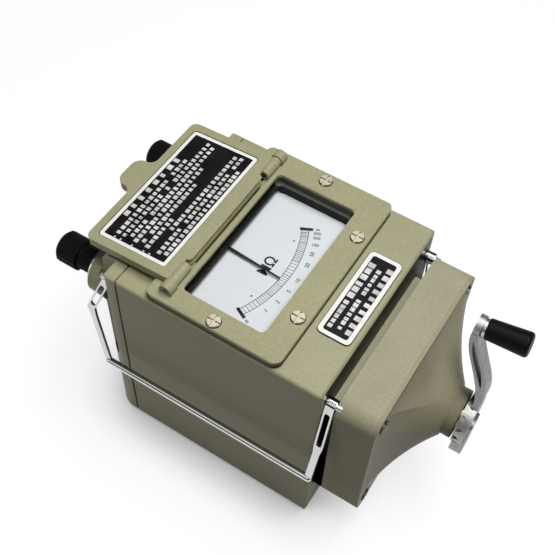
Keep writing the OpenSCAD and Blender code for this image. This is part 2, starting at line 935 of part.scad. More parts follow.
module pillar_places() {
    for (s = [-1, 1], x = [support_x0 + 5, support_x1 - 4])
        translate([x, s * pillar_y, 0])
            children();
}

module dial_support() {
    color(steel) difference() {
        box(support_x0, support_x1, -support_w / 2, support_w / 2, support_z, support_z + support_t);
        pillar_places()
            zcyl(support_z - lap, support_z + support_t + lap, small_d / 2 + seat, 0, 0);
    }
}

module dial_pillars() {
    color(brass) pillar_places() {
        zcyl(support_z + support_t, in_top, pillar_d / 2, 0, 0);
        zcyl(support_z - lap, support_z + support_t + 0.5, small_d / 2, 0, 0);
        zcyl(support_z - 2.5, support_z, pillar_d / 2, 0, 0);
    }
}

module nameplate() {
    x = (bez_x + bezel_l / 2 + case_x1) / 2;
    color(black)
        plate(x, case_top, case_top + plate_t, name_l, name_w, 3);
}

module bezel_screws() {
    color(bright) bezel_screw_places()
        translate([0, 0, bez_head_z])
            difference() {
                screw(small_d, bezel_t + 4, head_d, head_h - 0.4);
                box(-cross_w / 2, cross_w / 2, -head_d, head_d, head_h - 0.4 - cross_d, head_h + cross_d);
            }
}

// lid, drawn lying open about its hinge axis
module lid_tab() {
    translate([-lid_reach - tab_l / 2, 0])
        rrect(tab_l + 2 * lid_r, tab_w, lid_r + 2);
    for (y = [-tab_w / 2 - tab_fillet, tab_w / 2 - lap])
        difference() {
            translate([-lid_reach - tab_fillet, y])
                square(tab_fillet + lap);
            for (s = [-1, 1])
                translate([-lid_reach - tab_fillet, s * (tab_w / 2 + tab_fillet)])
                    circle(tab_fillet + tangent_gap);
        }
}

module lid_outline() {
    difference() {
        union() {
            translate([-lid_reach / 2, 0])
                rrect(lid_reach, 2 * lid_half, lid_r);
            lid_tab();
        }
        translate([-barrel_d / 4, -lid_half - lap])
            square([barrel_d, 2 * (lid_half + lap)]);
    }
    translate([(lid_lip - barrel_d) / 2, 0])
        rrect(barrel_d + lid_lip, 2 * (lid_half - ear_w - lip_gap), lid_r / 2);
}

module lid_pose() {
    translate([hinge_x, 0, hinge_z])
        rotate([0, -lid_tilt, 0])
            children();
}

tab_fillet = 4.5;
tangent_gap = 0.05;
lid_lip = 0.9;
lip_gap = 2.5;
lid_border = 6;
lid_rim = 6.1;
lid_plate_l = lid_reach - 2 * lid_rim;
lid_plate_w = 2 * (lid_half - lid_border + lap);
lid_plate_x = -lid_reach / 2 - 1.8;
lid_dish = 1.2;

module lid() {
    color(paint) lid_pose() difference() {
        union() {
            translate([0, 0, lid_face - lid_t])
                linear_extrude(lid_t)
                    lid_outline();
            for (s = [-1, 1])
                ycyl(s * (lid_half - ear_w / 2) - ear_w / 2, s * (lid_half - ear_w / 2) + ear_w / 2,
                    barrel_d / 2, 0, 0);
        }
        plate(lid_plate_x, lid_face - lid_dish, lid_face + lap, lid_plate_l + 2 * slip,
            lid_plate_w + 2 * slip, 2.2);
        ycyl(-bezel_w, bezel_w, hinge_pin_d / 2 + run, 0, 0);
    }
}

module lid_plate() {
    color(black) lid_pose()
        plate(lid_plate_x, lid_face - lid_dish, lid_face - lid_dish + plate_t, lid_plate_l, lid_plate_w, 2);
}

// a short pin through the ear and the knuckle at each end of the lid
module hinge_pin() {
    inner = lid_half - ear_w;
    reach = knuckle_w + clear + ear_w - 0.5;
    color(steel) for (y = [-inner - reach, inner])
        ycyl(y, y + reach, hinge_pin_d / 2, hinge_x, hinge_z);
}

// carrying bails
// a flat slotted leg from the pin past the knee to the rod, given by its place along X at each
module bail_leg(side, x0, x1, x2, slot) {
    half = strap_w / 2;
    low = strap_low / 2;
    bend = eye_top + slot + lap;
    narrow = bend + strap_w;
    x3 = x1 + (x2 - x1) * strap_w / (bail_drop - bend);
    eye_ring(x0);
    translate([0, side < 0 ? strap_t - eye_r : eye_r, 0])
        rotate([90, 0, 0])
            linear_extrude(strap_t)
                difference() {
                    polygon([[x0 - half, 0], [x0 + half, 0], [x1 + half, -bend], [x3 + low, -narrow],
                        [x2 + low, -bail_drop], [x2 - low, -bail_drop], [x3 - low, -narrow],
                        [x1 - half, -bend]]);
                    translate([x0, 0])
                        rotate(atan((x1 - x0) / bend))
                            translate([0, -eye_top - slot / 2]) {
                                square([eye_w, slot - eye_w], center = true);
                                for (s = [-1, 1])
                                    translate([0, s * (slot - eye_w) / 2])
                                        circle(eye_w / 2);
                            }
                }
}

module eye_ring(x) {
    difference() {
        xcyl(x - strap_w / 2, x + strap_w / 2, eye_r);
        xcyl(x - strap_w, x + strap_w, pin_d / 2 + run);
    }
}

// a whole bail on the front side, -1, or the rear side, 1
module bail(side) {
    mid_y = side * (eye_r - strap_t / 2);
    rod_x0 = leg_l_x + rod_in;
    rod_x1 = leg_r_x - leg_in;
    translate([0, side * pin_y, pin_z])
        rotate([side * bail_tilt, 0, 0]) {
            bail_leg(side, leg_l_x, leg_l_x - leg_bow, rod_x0, eye_l);
            bail_leg(side, leg_r_x, leg_r_x, rod_x1, eye_long);
            xcyl(rod_x0, rod_x1, rod_d / 2, mid_y, -bail_drop);
            for (x = [rod_x0, rod_x1])
                translate([x, mid_y, -bail_drop])
                    sphere(rod_d / 2);
        }
}

module front_bail() {
    color(bright)
        bail(-1);
}

module rear_bail() {
    color(bright)
        bail(1);
}

module bail_pins() {
    head_x = groove_x - strap_w / 2 - 2 * clear;
    color(steel) for (s = [-1, 1]) {
        xcyl(case_x1 - pin_seat + seat, house_x0 + pin_seat - seat, pin_d / 2, s * pin_y, pin_z);
        xcyl(head_x, groove_x + groove_w / 2 + pin_deep - seat, pin_d / 2, s * pin_y, pin_z);
        xcyl(head_x - pin_head, head_x, pin_d * 0.6, s * pin_y, pin_z);
    }
}

// terminals
module term_places() {
    for (s = [-1, 1])
        translate([0, s * term_y, term_z])
            children();
}

module terminal_rings() {
    color(bright) term_places()
        difference() {
            xcyl(ring_x - ring_t, ring_x, ring_d / 2);
            xcyl(ring_x - 2 * ring_t, ring_x + lap, bush_r + seat);
        }
}

module terminal_bushes() {
    color(black) term_places()
        difference() {
            union() {
                xcyl(ring_x - ring_t - bush_flange, ring_x - ring_t, collar_d / 2 + 0.5);
                xcyl(ring_x - ring_t - lap, pocket_x + 2, bush_r);
            }
            xcyl(ring_x - 20, pocket_x + 3, stud_d / 2 + seat);
        }
}

module terminal_studs() {
    color(brass) term_places()
        xcyl(knob_x0 + 2.5, pocket_x + 2 + nut_t + 4, stud_d / 2);
}

module terminal_nuts() {
    color(brass) term_places()
        difference() {
            translate([pocket_x + 2, 0, 0])
                rotate([0, 90, 0])
                    cylinder(h = nut_t, r = stud_d * 0.92, $fn = 6);
            xcyl(pocket_x, pocket_x + 2 * nut_t, stud_d / 2 + seat);
        }
}

module knob() {
    tip = 1.5;
    flute_r = 0.9;
    flute_out = 0.3;
    wide_x = knob_x1 - collar_l;
    difference() {
        union() {
            xcyl(wide_x - lap, knob_x1, collar_d / 2);
            xcyl(knob_x0 + tip, wide_x, knob_d / 2);
            translate([knob_x0, 0, 0])
                rotate([0, 90, 0])
                    cylinder(h = tip, r1 = knob_d / 2 - tip, r2 = knob_d / 2);
        }
        xcyl(knob_x0 + 2, knob_x1 + lap, stud_d / 2 + run);
        for (i = [0 : flutes - 1])
            rotate([i * 360 / flutes, 0, 0]) {
                xcyl(knob_x0 - lap, wide_x + lap, flute_r, 0, knob_d / 2 + flute_out);
                xcyl(wide_x + 2 * lap, knob_x1 - lap, flute_r, 0, collar_d / 2 + flute_out);
            }
    }
}

module knob_near() {
    color(black)
        translate([0, -term_y, term_z])
            knob();
}

module knob_far() {
    color(black)
        translate([0, term_y, term_z])
            knob();
}

// crank, drawn upright and turned to its rest angle
module crank_pose() {
    translate([0, 0, crank_z])
        rotate([crank_ang - 90, 0, 0])
            children();
}

// the grip axis, set off from the lever's tip
module grip_pose() {
    translate([tip_x, 0, crank_r])
        rotate([0, -grip_lean, 0])
            children();
}

lever_r0 = hub_d / 2 + 3.5;
lever_r1 = crank_r - 0.5;
lever_n = 26;
lens_r0 = lever_r0 + 9;
lens_r1 = lever_r1 - 6;
swell = 1.7;
function ease(r) = 0.5 - 0.5 * cos(180 * min(1, max(0, (r - lever_r0) / (lever_r1 - lever_r0))));
function lever_x(r) = arm_x - joggle * ease(r);
function bulge(r, a, b) = sin(180 * min(1, max(0, (r - a) / (b - a))));
function lever_ht(r) = arm_t / 2 + swell * bulge(r, lever_r0, lever_r1);
function lens_w(r) = 0.05 + (arm_t / 2 - 0.1) * bulge(r, lens_r0, lens_r1);
function span(a, b, i) = a + (b - a) * i / lever_n;

module lever_side() {
    a = hub_d / 4;
    b = crank_r + arm_w;
    polygon(concat(
        [for (i = [0 : lever_n]) let (r = span(a, b, i)) [lever_x(r) - lever_ht(r), r]],
        [for (i = [lever_n : -1 : 0]) let (r = span(a, b, i)) [lever_x(r) + lever_ht(r), r]]));
}

module lever_lens() {
    polygon(concat(
        [for (i = [0 : lever_n]) let (r = span(lens_r0, lens_r1, i)) [lever_x(r) - lens_w(r), r]],
        [for (i = [lever_n : -1 : 0]) let (r = span(lens_r0, lens_r1, i)) [lever_x(r) + lens_w(r), r]]));
}

module lever_front() {
    waist = (lever_r0 + lever_r1) / 2;
    root = arm_w * 0.58;
    slim = arm_w * 0.36;
    tip = arm_w * 0.46;
    polygon([[-root, 0], [root, 0], [slim, waist], [tip, crank_r], [-tip, crank_r], [-slim, waist]]);
    translate([0, crank_r])
        circle(arm_w / 2);
}

module crank_arm() {
    tail_w = 14;
    tail_r = hub_d / 2 + 3;
    web = arm_w * 0.16;
    notch_r = 2.3;
    notch_in = 0.8;
    notch_deep = 1.2;
    color(bright) crank_pose() difference() {
        union() {
            xcyl(hub_x0, hub_x1, hub_d / 2);
            intersection() {
                along_y(-arm_w, arm_w)
                    lever_side();
                along_x(hub_x0 - 2 * joggle, hub_x1 + joggle)
                    lever_front();
            }
            box(hub_x0 + 0.6, hub_x1 + 1.4, -tail_w / 2, tail_w / 2, -tail_r, 0);
            xcyl(hub_x0 + 0.6, hub_x1 + 1.4, tail_w / 2, 0, -tail_r);
        }
        for (s = [-1, 1])
            along_y(s * (web + arm_w / 2) - arm_w / 2, s * (web + arm_w / 2) + arm_w / 2)
                lever_lens();
        xcyl(hub_x0 - lap, hub_x1 + 3, shaft_d / 2 + seat);
        xcyl(hub_x1 - screw_in, hub_x1 + 3, crank_head / 2 + slip);
        grip_pose()
            xcyl(-2 * arm_t, 2 * arm_t, pin_grip_d / 2 + seat);
        for (i = [0 : notches - 1])
            rotate([i * 360 / notches, 0, 0])
                translate([hub_x0 + notch_r / 2 + notch_in, 0, hub_d / 2 - notch_deep])
                    cylinder(h = 2 * notch_deep, r = notch_r, $fn = 3);
    }
}

module crank_shaft() {
    color(steel) difference() {
        xcyl(high_x - lap, hub_x1 - screw_in, shaft_d / 2, 0, crank_z);
        xcyl(hub_x1 - screw_in - 11, hub_x1, screw_d / 2 + seat, 0, crank_z);
    }
}

module crank_screw() {
    color(steel)
        translate([hub_x1 - screw_in, 0, crank_z])
            rotate([0, 90, 0])
                screw(screw_d, 10, crank_head, head_h);
}

module grip_pin() {
    color(steel) crank_pose() grip_pose() {
        xcyl(-arm_t / 2, grip_x0 + grip_l - 4, pin_grip_d / 2);
        xcyl(arm_t / 2 + 0.8, grip_x0 - clear, grip_d0 / 2 - 0.4);
    }
}

module grip() {
    e = grip_round;
    color(black) crank_pose() grip_pose()
        translate([grip_x0, 0, 0])
            rotate([0, 90, 0])
                difference() {
                    rotate_extrude() {
                        polygon([[0, 0], [grip_d0 / 2, 0], [grip_d1 / 2, grip_l - e],
                            [grip_d1 / 2 - e, grip_l - e], [grip_d1 / 2 - e, grip_l], [0, grip_l]]);
                        translate([grip_d1 / 2 - e, grip_l - e])
                            intersection() {
                                circle(e);
                                square(2 * e);
                            }
                    }
                    translate([0, 0, -1])
                        cylinder(h = grip_l - 2, r = pin_grip_d / 2 + run);
                }
}

module crank_bush() {
    color(brass) difference() {
        xcyl(bush_x0, boss_x1 + 0.5, bush_d / 2, 0, crank_z);
        xcyl(bush_x0 - lap, boss_x1 + 2, shaft_d / 2 + run, 0, crank_z);
    }
}

// involute gears, with the flank given as half a tooth's angle at each radius
function inv(a) = tan(a) * 180 / PI - a;
function half_at(n, r) = let (rp = gear_m * n / 2, rb = rp * cos(press_angle))
    90 / n - backlash / 4 / rp * 180 / PI + inv(press_angle) - inv(acos(min(1, rb / max(r, rb))));
function polar(r, a) = [r * cos(a), r * sin(a)];

module gear_flat(n) {
    rp = gear_m * n / 2;
    rb = rp * cos(press_angle);
    ra = rp + add_k * gear_m;
    rr = rp - ded_k * gear_m;
    rs = max(rb, rr);
    radii = concat([rr], [for (i = [0 : flank_n]) rs + 0.02 + (ra - rs - 0.02) * i / flank_n]);
    last = len(radii) - 1;
    polygon([for (t = [0 : n - 1]) each concat(
        [for (i = [0 : last]) polar(radii[i], t * 360 / n - half_at(n, radii[i]))],
        [for (i = [last : -1 : 0]) polar(radii[i], t * 360 / n + half_at(n, radii[i]))])]);
}

// a gear on an axis, turned so that a tooth or a gap points along the given angle
module gear(n, x0, x1, y, z, turn, bore) {
    translate([0, y, z])
        difference() {
            along_x(x0, x1)
                rotate(turn)
                    gear_flat(n);
            xcyl(x0 - lap, x1 + lap, bore);
            if (n > 2 * pinion_n)
                for (i = [0 : 5])
                    rotate([i * 60, 0, 0])
                        xcyl(x0 - lap, x1 + lap, gear_m * n / 12, 0, gear_m * n / 3.6);
        }
}

module drive_gear() {
    color(brass)
        gear(wheel_n, high_x, high_x + gear_t, 0, crank_z, mesh_1, shaft_d / 2 + seat);
}

module idler_pinion() {
    color(steel)
        gear(pinion_n, high_x - 3 * pinion_over, high_x + gear_t + pinion_over, idler_y, idler_z,
            mesh_1 + 180 + 180 / pinion_n, post_d / 2 + run);
}

module idler_wheel() {
    color(brass) {
        gear(wheel_n, low_x, low_x + gear_t, idler_y, idler_z, mesh_2, post_d / 2 + run);
        difference() {
            xcyl(low_x + gear_t - 0.5, high_x - 3 * pinion_over, post_d, idler_y, idler_z);
            xcyl(low_x, high_x, post_d / 2 + run, idler_y, idler_z);
        }
    }
}

module rotor_pinion() {
    color(steel)
        gear(pinion_n, low_x - pinion_over, low_x + gear_t + pinion_over, 0, rotor_z,
            mesh_2 + 180 + 180 / pinion_n, rotor_d / 2 + seat);
}

module idler_post() {
    end_x = high_x + gear_t + pinion_over;
    color(steel) {
        xcyl(house_x0, end_x + clear + 1.4, post_d / 2, idler_y, idler_z);
        xcyl(end_x + clear, end_x + clear + lap, post_d * 0.8, idler_y, idler_z);
    }
}

// generator
module rotor_shaft() {
    color(steel)
        xcyl(gen_x0 + lap, low_x + gear_t + lap, rotor_d / 2, 0, rotor_z);
}

module rotor_magnet() {
    color(magnet_c) difference() {
        xcyl(stator_x0, stator_x1, magnet_d / 2, 0, rotor_z);
        xcyl(stator_x0 - lap, stator_x1 + lap, rotor_d / 2 + seat, 0, rotor_z);
    }
}

module stator() {
    pole_r = magnet_d / 2 + air_gap;
    color(steel) translate([0, 0, rotor_z]) difference() {
        union() {
            difference() {
                xcyl(stator_x0, stator_x1, stator_d / 2);
                xcyl(stator_x0 - lap, stator_x1 + lap, stator_in / 2);
            }
            for (i = [0 : 3])
                rotate([i * 90, 0, 0])
                    box(stator_x0, stator_x1, -pole_w / 2, pole_w / 2, pole_r - lap, stator_in / 2 + lap);
        }
        xcyl(stator_x0 - lap, stator_x1 + lap, pole_r);
        for (a = [45 : 90 : 315])
            xcyl(stator_x0 - lap, stator_x1 + lap, tie_d / 2 + seat, tie_r * cos(a), tie_r * sin(a));
    }
}

module stator_coils() {
    w0 = pole_w / 2 + slip;
    w1 = pole_w / 2 + 3.6;
    over = 3.6;
    r0 = magnet_d / 2 + air_gap + 2;
    r1 = sqrt(pow(stator_in / 2, 2) - w1 * w1) - slip;
    color(copper) translate([0, 0, rotor_z])
        for (i = [0 : 3])
            rotate([i * 90, 0, 0])
                difference() {
                    box(stator_x0 - over, stator_x1 + over, -w1, w1, r0, r1);
                    box(stator_x0 - slip, stator_x1 + slip, -w0, w0, r0 - lap, r1 + lap);
                }
}

module gen_bracket(x0, x1, lip0, lip1) {
    translate([0, 0, rotor_z]) difference() {
        union() {
            xcyl(x0, x1, stator_d / 2);
            difference() {
                xcyl(lip0, lip1, stator_d / 2);
                xcyl(lip0 - lap, lip1 + lap, stator_in / 2 + slip);
            }
        }
        xcyl(x0 - lap, x1 + lap, gen_bush_d / 2 + seat);
        for (a = [45 : 90 : 315])
            xcyl(x0 - lip_t - lap, x1 + lip_t + lap, tie_d / 2 + seat, tie_r * cos(a), tie_r * sin(a));
    }
}

module gen_bracket_right() {
    color(steel)
        gen_bracket(gen_x1 - bracket_t, gen_x1, stator_x1, gen_x1 - bracket_t + 0.5);
}

module gen_bracket_left() {
    color(steel)
        gen_bracket(gen_x0, gen_x0 + bracket_t, gen_x0 + bracket_t - 0.5, stator_x0);
}

module gen_bushes() {
    color(brass) for (x = [gen_x0, gen_x1 - bracket_t])
        difference() {
            xcyl(x, x + bracket_t, gen_bush_d / 2, 0, rotor_z);
            xcyl(x - lap, x + bracket_t + lap, rotor_d / 2 + run, 0, rotor_z);
        }
}

module gen_tie_rods() {
    color(steel) tie_places() {
        xcyl(gen_x0 - 2, gen_x1 + 2.5, tie_d / 2);
        xcyl(gen_x0 - 2, gen_x0, tie_d);
    }
}

// meter movement
module movement_frame() {
    z0 = coil_bot - arm_gap - bridge_t;
    z1 = coil_top + arm_gap;
    half = 5;
    color(brass) translate([0, pivot_y, 0]) difference() {
        union() {
            box(pivot_x - 4, back_x + lap, -half, half, z0, z0 + bridge_t);
            box(pivot_x - 4, back_x + lap, -half, half, z1, z1 + bridge_t);
            box(back_x, back_x + back_t, -2 * half, 2 * half, z0, support_z);
        }
        zcyl(z0 - lap, support_z + lap, staff_d / 2 + run, pivot_x, 0);
    }
}

module pole_pieces() {
    gap = 38;
    color(steel) translate([0, pivot_y, 0]) difference() {
        union() {
            zcyl(pole_z0, pole_z1, pole_out, pivot_x, 0);
            for (s = [-1, 1])
                box(pivot_x, yoke_x, s * (pole_out - 2) - 2, s * (pole_out - 2) + 2, pole_z0, pole_z1);
        }
        zcyl(pole_z0 - lap, pole_z1 + lap, pole_in, pivot_x, 0);
        for (s = [0, 180])
            translate([pivot_x, 0, pole_z0 - lap])
                rotate(s)
                    linear_extrude(pole_z1 - pole_z0 + 2)
                        polygon([[0, 0], polar(1.6 * pole_out, -gap / 2), polar(1.6 * pole_out, gap / 2)]);
    }
}

module meter_magnet() {
    color(magnet_c)
        translate([0, pivot_y, 0])
            box(yoke_x, back_x, -pole_out, pole_out, pole_z0, pole_z1);
}

module meter_core() {
    mid = (pole_z0 + pole_z1) / 2;
    color(steel) translate([0, pivot_y, 0]) difference() {
        zcyl(pole_z0, pole_z1, core_r, pivot_x, 0);
        box(pivot_x - 1.6, pivot_x + 1.6, -2 * core_r, 2 * core_r, mid - lap, mid + lap);
    }
}

module core_bridge() {
    mid = (pole_z0 + pole_z1) / 2;
    color(brass)
        translate([0, pivot_y, 0]) intersection() {
            box(pivot_x - 1.5, pivot_x + 1.5, -pole_in, pole_in, mid - lap, mid + lap);
            zcyl(mid - 2, mid + 2, pole_in, pivot_x, 0);
        }
}

module moving_coils() {
    color(copper) translate([pivot_x, pivot_y, 0]) {
        difference() {
            for (s = [-1, 1])
                rotate(pointer_rest + s * coil_cross / 2)
                    box(-coil_out, coil_out, -coil_w / 2, coil_w / 2, coil_bot, coil_top);
            for (s = [-1, 1])
                rotate(pointer_rest + s * coil_cross / 2)
                    box(-coil_in, coil_in, -coil_w, coil_w, coil_bot + coil_wind, coil_top - coil_wind);
            zcyl(coil_bot + coil_wind, coil_top - coil_wind, coil_in, 0, 0);
        }
        zcyl(coil_top - 0.5, pointer_z + pointer_t + 0.4, staff_d / 2, 0, 0);
        zcyl(coil_bot - arm_gap - bridge_t + 0.5, coil_bot + 0.5, staff_d / 2, 0, 0);
    }
}

module pointer() {
    tail = 9;
    color(black) translate([pivot_x, pivot_y, pointer_z]) rotate(pointer_rest) difference() {
        linear_extrude(pointer_t)
            union() {
                polygon([[-tail, -1.6], [0, -1.1], [pointer_l, -0.35], [pointer_l, 0.35], [0, 1.1],
                    [-tail, 1.6]]);
                circle(2.6);
            }
        zcyl(-1, pointer_t + lap, staff_d / 2 + seat, 0, 0);
    }
}

// electronics
module board_places() {
    for (sx = [4, board_l - 4], s = [-1, 1])
        translate([board_x0 + sx, s * (board_w / 2 - 5), 0])
            children();
}

module circuit_board() {
    color(board_c) {
        box(board_x0, board_x0 + board_l, -board_w / 2, board_w / 2, board_z, board_z + board_t);
        board_places() {
            zcyl(cover_top, board_z + 0.5, post_r, 0, 0);
            zcyl(cover_top - lap, cover_top + 0.5, small_d / 2, 0, 0);
        }
    }
}

module capacitors() {
    color([0.16, 0.22, 0.38]) for (s = [-1, 1])
        zcyl(board_z + board_t, board_z + board_t + can_h, can_d / 2, can_x, s * can_y);
}

module resistors() {
    foot = res_half - lead_w;
    half = lead_w / 2;
    color([0.55, 0.36, 0.24]) for (i = [-1 : 1]) {
        y = i * res_pitch;
        ycyl(y - res_half, y + res_half, res_r, res_x, board_z + board_t + res_lift);
        for (s = [-1, 1])
            box(res_x - half, res_x + half, y + s * foot - half, y + s * foot + half, board_z + board_t,
                board_z + board_t + res_lift - half);
    }
}

// screws
module cap_screws() {
    color(steel) cap_screw_places()
        translate([cap_end + cap_head_in, 0, 0])
            rotate([0, -90, 0])
                screw(screw_d, cap_l - cap_head_in + cap_boss_l - 3, head_d, head_h);
}

module cover_screws() {
    color(steel) cover_screw_places() {
        zcyl(case_bot + 0.5, cover_top + cover_boss_h - 4, small_d / 2, 0, 0);
        translate([0, 0, case_bot])
            cylinder(h = cover_head_h, r1 = small_d + slip / 2, r2 = small_d / 2);
    }
}

module neck_screws() {
    color(steel) neck_screw_places()
        translate([case_x1 - wall, 0, 0])
            rotate([0, -90, 0])
                screw(screw_d, wall + slot_w + 1.5, head_d, head_h);
}

module bell_screws() {
    color(steel) for (s = [-1, 1], z = [house_bot + corner_in, house_top - corner_in])
        translate([bell_x0 - bell_head_in, s * (house_w / 2 - corner_in), z])
            rotate([0, 90, 0])
                screw(screw_d, bell_screw_l, head_d, head_h);
}

main_case();
end_cap();
crank_housing();
end_bell();
bottom_cover();
feet();
bezel();
window_frame();
glass();
dial();
dial_support();
dial_pillars();
nameplate();
lid();
lid_plate();
hinge_pin();
front_bail();
rear_bail();
bail_pins();
terminal_rings();
terminal_bushes();
terminal_studs();
terminal_nuts();
knob_near();
knob_far();
crank_arm();
crank_shaft();
crank_screw();
grip_pin();
grip();
crank_bush();
drive_gear();
idler_post();
idler_wheel();
idler_pinion();
rotor_shaft();
rotor_pinion();
rotor_magnet();
stator();
stator_coils();
gen_bracket_right();
gen_bracket_left();
gen_bushes();
gen_tie_rods();
movement_frame();
meter_magnet();
pole_pieces();
meter_core();
core_bridge();
moving_coils();
pointer();
circuit_board();
capacitors();
resistors();
bezel_screws();
cap_screws();
cover_screws();
neck_screws();
bell_screws();
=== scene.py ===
# %% [markdown]
# # Dressing a hand-cranked insulation tester
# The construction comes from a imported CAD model, which is loaded as a fixed frame.
# Nothing of it is moved here. Blender adds what CAD does not hold: the finish of
# every surface, the printing on the dial and the plates, the light and the camera.
# All lengths are in metres, in the same frame as the CAD.

# %% Load the frame and keep its box
import json
import math
import random

import bmesh
import bpy
from mathutils import Matrix, Vector

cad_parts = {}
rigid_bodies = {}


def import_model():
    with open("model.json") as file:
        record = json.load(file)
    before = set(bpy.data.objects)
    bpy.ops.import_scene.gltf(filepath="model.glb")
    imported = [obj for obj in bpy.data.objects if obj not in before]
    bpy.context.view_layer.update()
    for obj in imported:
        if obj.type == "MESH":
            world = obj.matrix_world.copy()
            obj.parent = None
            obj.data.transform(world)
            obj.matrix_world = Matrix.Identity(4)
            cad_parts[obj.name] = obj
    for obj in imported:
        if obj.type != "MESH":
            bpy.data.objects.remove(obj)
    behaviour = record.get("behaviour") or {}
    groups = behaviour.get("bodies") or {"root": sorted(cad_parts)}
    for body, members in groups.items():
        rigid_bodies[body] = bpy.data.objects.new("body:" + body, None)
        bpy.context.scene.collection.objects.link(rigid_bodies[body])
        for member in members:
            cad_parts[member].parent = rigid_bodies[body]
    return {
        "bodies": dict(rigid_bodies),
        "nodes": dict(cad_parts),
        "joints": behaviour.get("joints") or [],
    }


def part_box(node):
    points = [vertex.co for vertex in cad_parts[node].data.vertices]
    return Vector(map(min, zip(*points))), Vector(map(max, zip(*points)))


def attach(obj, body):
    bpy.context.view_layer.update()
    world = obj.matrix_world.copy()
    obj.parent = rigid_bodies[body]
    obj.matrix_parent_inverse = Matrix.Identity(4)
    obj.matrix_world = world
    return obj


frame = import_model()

kept = set(frame["nodes"].values()) | set(frame["bodies"].values())
for extra in [o for o in bpy.data.objects if o not in kept]:
    bpy.data.objects.remove(extra)
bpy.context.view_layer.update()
cad = frame["nodes"]
mm = 0.001

# %% [markdown]
# ## Small tools for shader trees
# A finish is a chain of nodes. A few short helpers keep the cells readable: each adds a
# node and fills its inputs, with a number or with another node's output.

# %% Node helpers
FLOAT, COLOUR = "NodeSocketFloat", "NodeSocketColor"


def feed(tree, socket, value):
    """Links the socket if the value is another node's output, and sets it otherwise."""
    if isinstance(value, bpy.types.NodeSocket):
        tree.links.new(value, socket)
    else:
        socket.default_value = value


def add(tree, kind, settings=None, **inputs):
    made = tree.nodes.new(kind)
    for key, value in (settings or {}).items():
        setattr(made, key, value)
    for key, value in inputs.items():
        feed(tree, made.inputs[key.replace("_", " ")], value)
    return made


def math_node(tree, operation, first, second):
    made = add(tree, "ShaderNodeMath", {"operation": operation})
    feed(tree, made.inputs[0], first)
    feed(tree, made.inputs[1], second)
    return made.outputs[0]


def remap(tree, value, low, high, to_low, to_high):
    made = add(tree, "ShaderNodeMapRange", Value=value, From_Min=low, From_Max=high,
               To_Min=to_low, To_Max=to_high)
    return made.outputs["Result"]


def blend_colour(tree, amount, first, second):
    made = add(tree, "ShaderNodeMix", {"data_type": "RGBA"})
    for index, value in ((0, amount), (6, first), (7, second)):
        feed(tree, made.inputs[index], value)
    return made.outputs[2]


def scaled(tree, colour, factor):
    made = add(tree, "ShaderNodeVectorMath", {"operation": "SCALE"}, Scale=factor)
    feed(tree, made.inputs[0], colour)
    return made.outputs[0]


def object_place(tree):
    return tree.nodes.new("ShaderNodeTexCoord").outputs["Object"]


def true_normal(tree):
    return tree.nodes.new("ShaderNodeNewGeometry").outputs["Normal"]


print("node helpers ready")

# %% [markdown]
# ## Starting groups, materials and objects
# Every group begins with its sockets, every material with its main shader, and every
# new object has to be linked to the scene. Each of these is said once, here.

# %% Starters
def start_group(name, inputs, outputs):
    tree = bpy.data.node_groups.new(name, "ShaderNodeTree")
    for label, kind, value in inputs:
        socket = tree.interface.new_socket(label, in_out="INPUT", socket_type=kind)
        socket.default_value = value
    for label, kind in outputs:
        tree.interface.new_socket(label, in_out="OUTPUT", socket_type=kind)
    return tree, tree.nodes.new("NodeGroupInput"), tree.nodes.new("NodeGroupOutput")


def end_group(tree, out, **results):
    for label, value in results.items():
        tree.links.new(value, out.inputs[label])
    return tree


def place(tree, group, **inputs):
    return add(tree, "ShaderNodeGroup", {"node_tree": group}, **inputs)


def start_material(name):
    made = bpy.data.materials.new(name)
    made.use_nodes = True
    return made, made.node_tree, made.node_tree.nodes["Principled BSDF"]


def dress(tree, shader, colour, roughness, normal):
    feed(tree, shader.inputs["Base Color"], colour)
    feed(tree, shader.inputs["Roughness"], roughness)
    feed(tree, shader.inputs["Normal"], normal)


def choose_shader(tree, amount, first, second):
    mix = tree.nodes.new("ShaderNodeMixShader")
    for index, source in enumerate((amount, first, second)):
        tree.links.new(source, mix.inputs[index])
    tree.links.new(mix.outputs[0], tree.nodes["Material Output"].inputs["Surface"])


def new_object(name, data):
    made = bpy.data.objects.new(name, data)
    bpy.context.scene.collection.objects.link(made)
    return made


print("starters ready")

# %% [markdown]
# ## Sprayed enamel
# The cast shells carry a thick olive enamel. Close up it has an orange-peel skin a
# millimetre or so across, faint cloudy patches and a few raised specks. An image
# would do for one view, but noise on Object coordinates holds on every side, so
# one node group gives the colour, the roughness and the height of that skin, and
# how near an edge is, where the enamel is painted lighter as a painted highlight.

# %% The enamel group
CLOUD_SCALE, SPECK_SCALE = 38.0, 340.0
GRAIN_DEPTH, SPECK_LIFT, SPECK_HEIGHT = 0.08, 0.2, 0.5
EDGE_RADIUS = 0.9 * mm


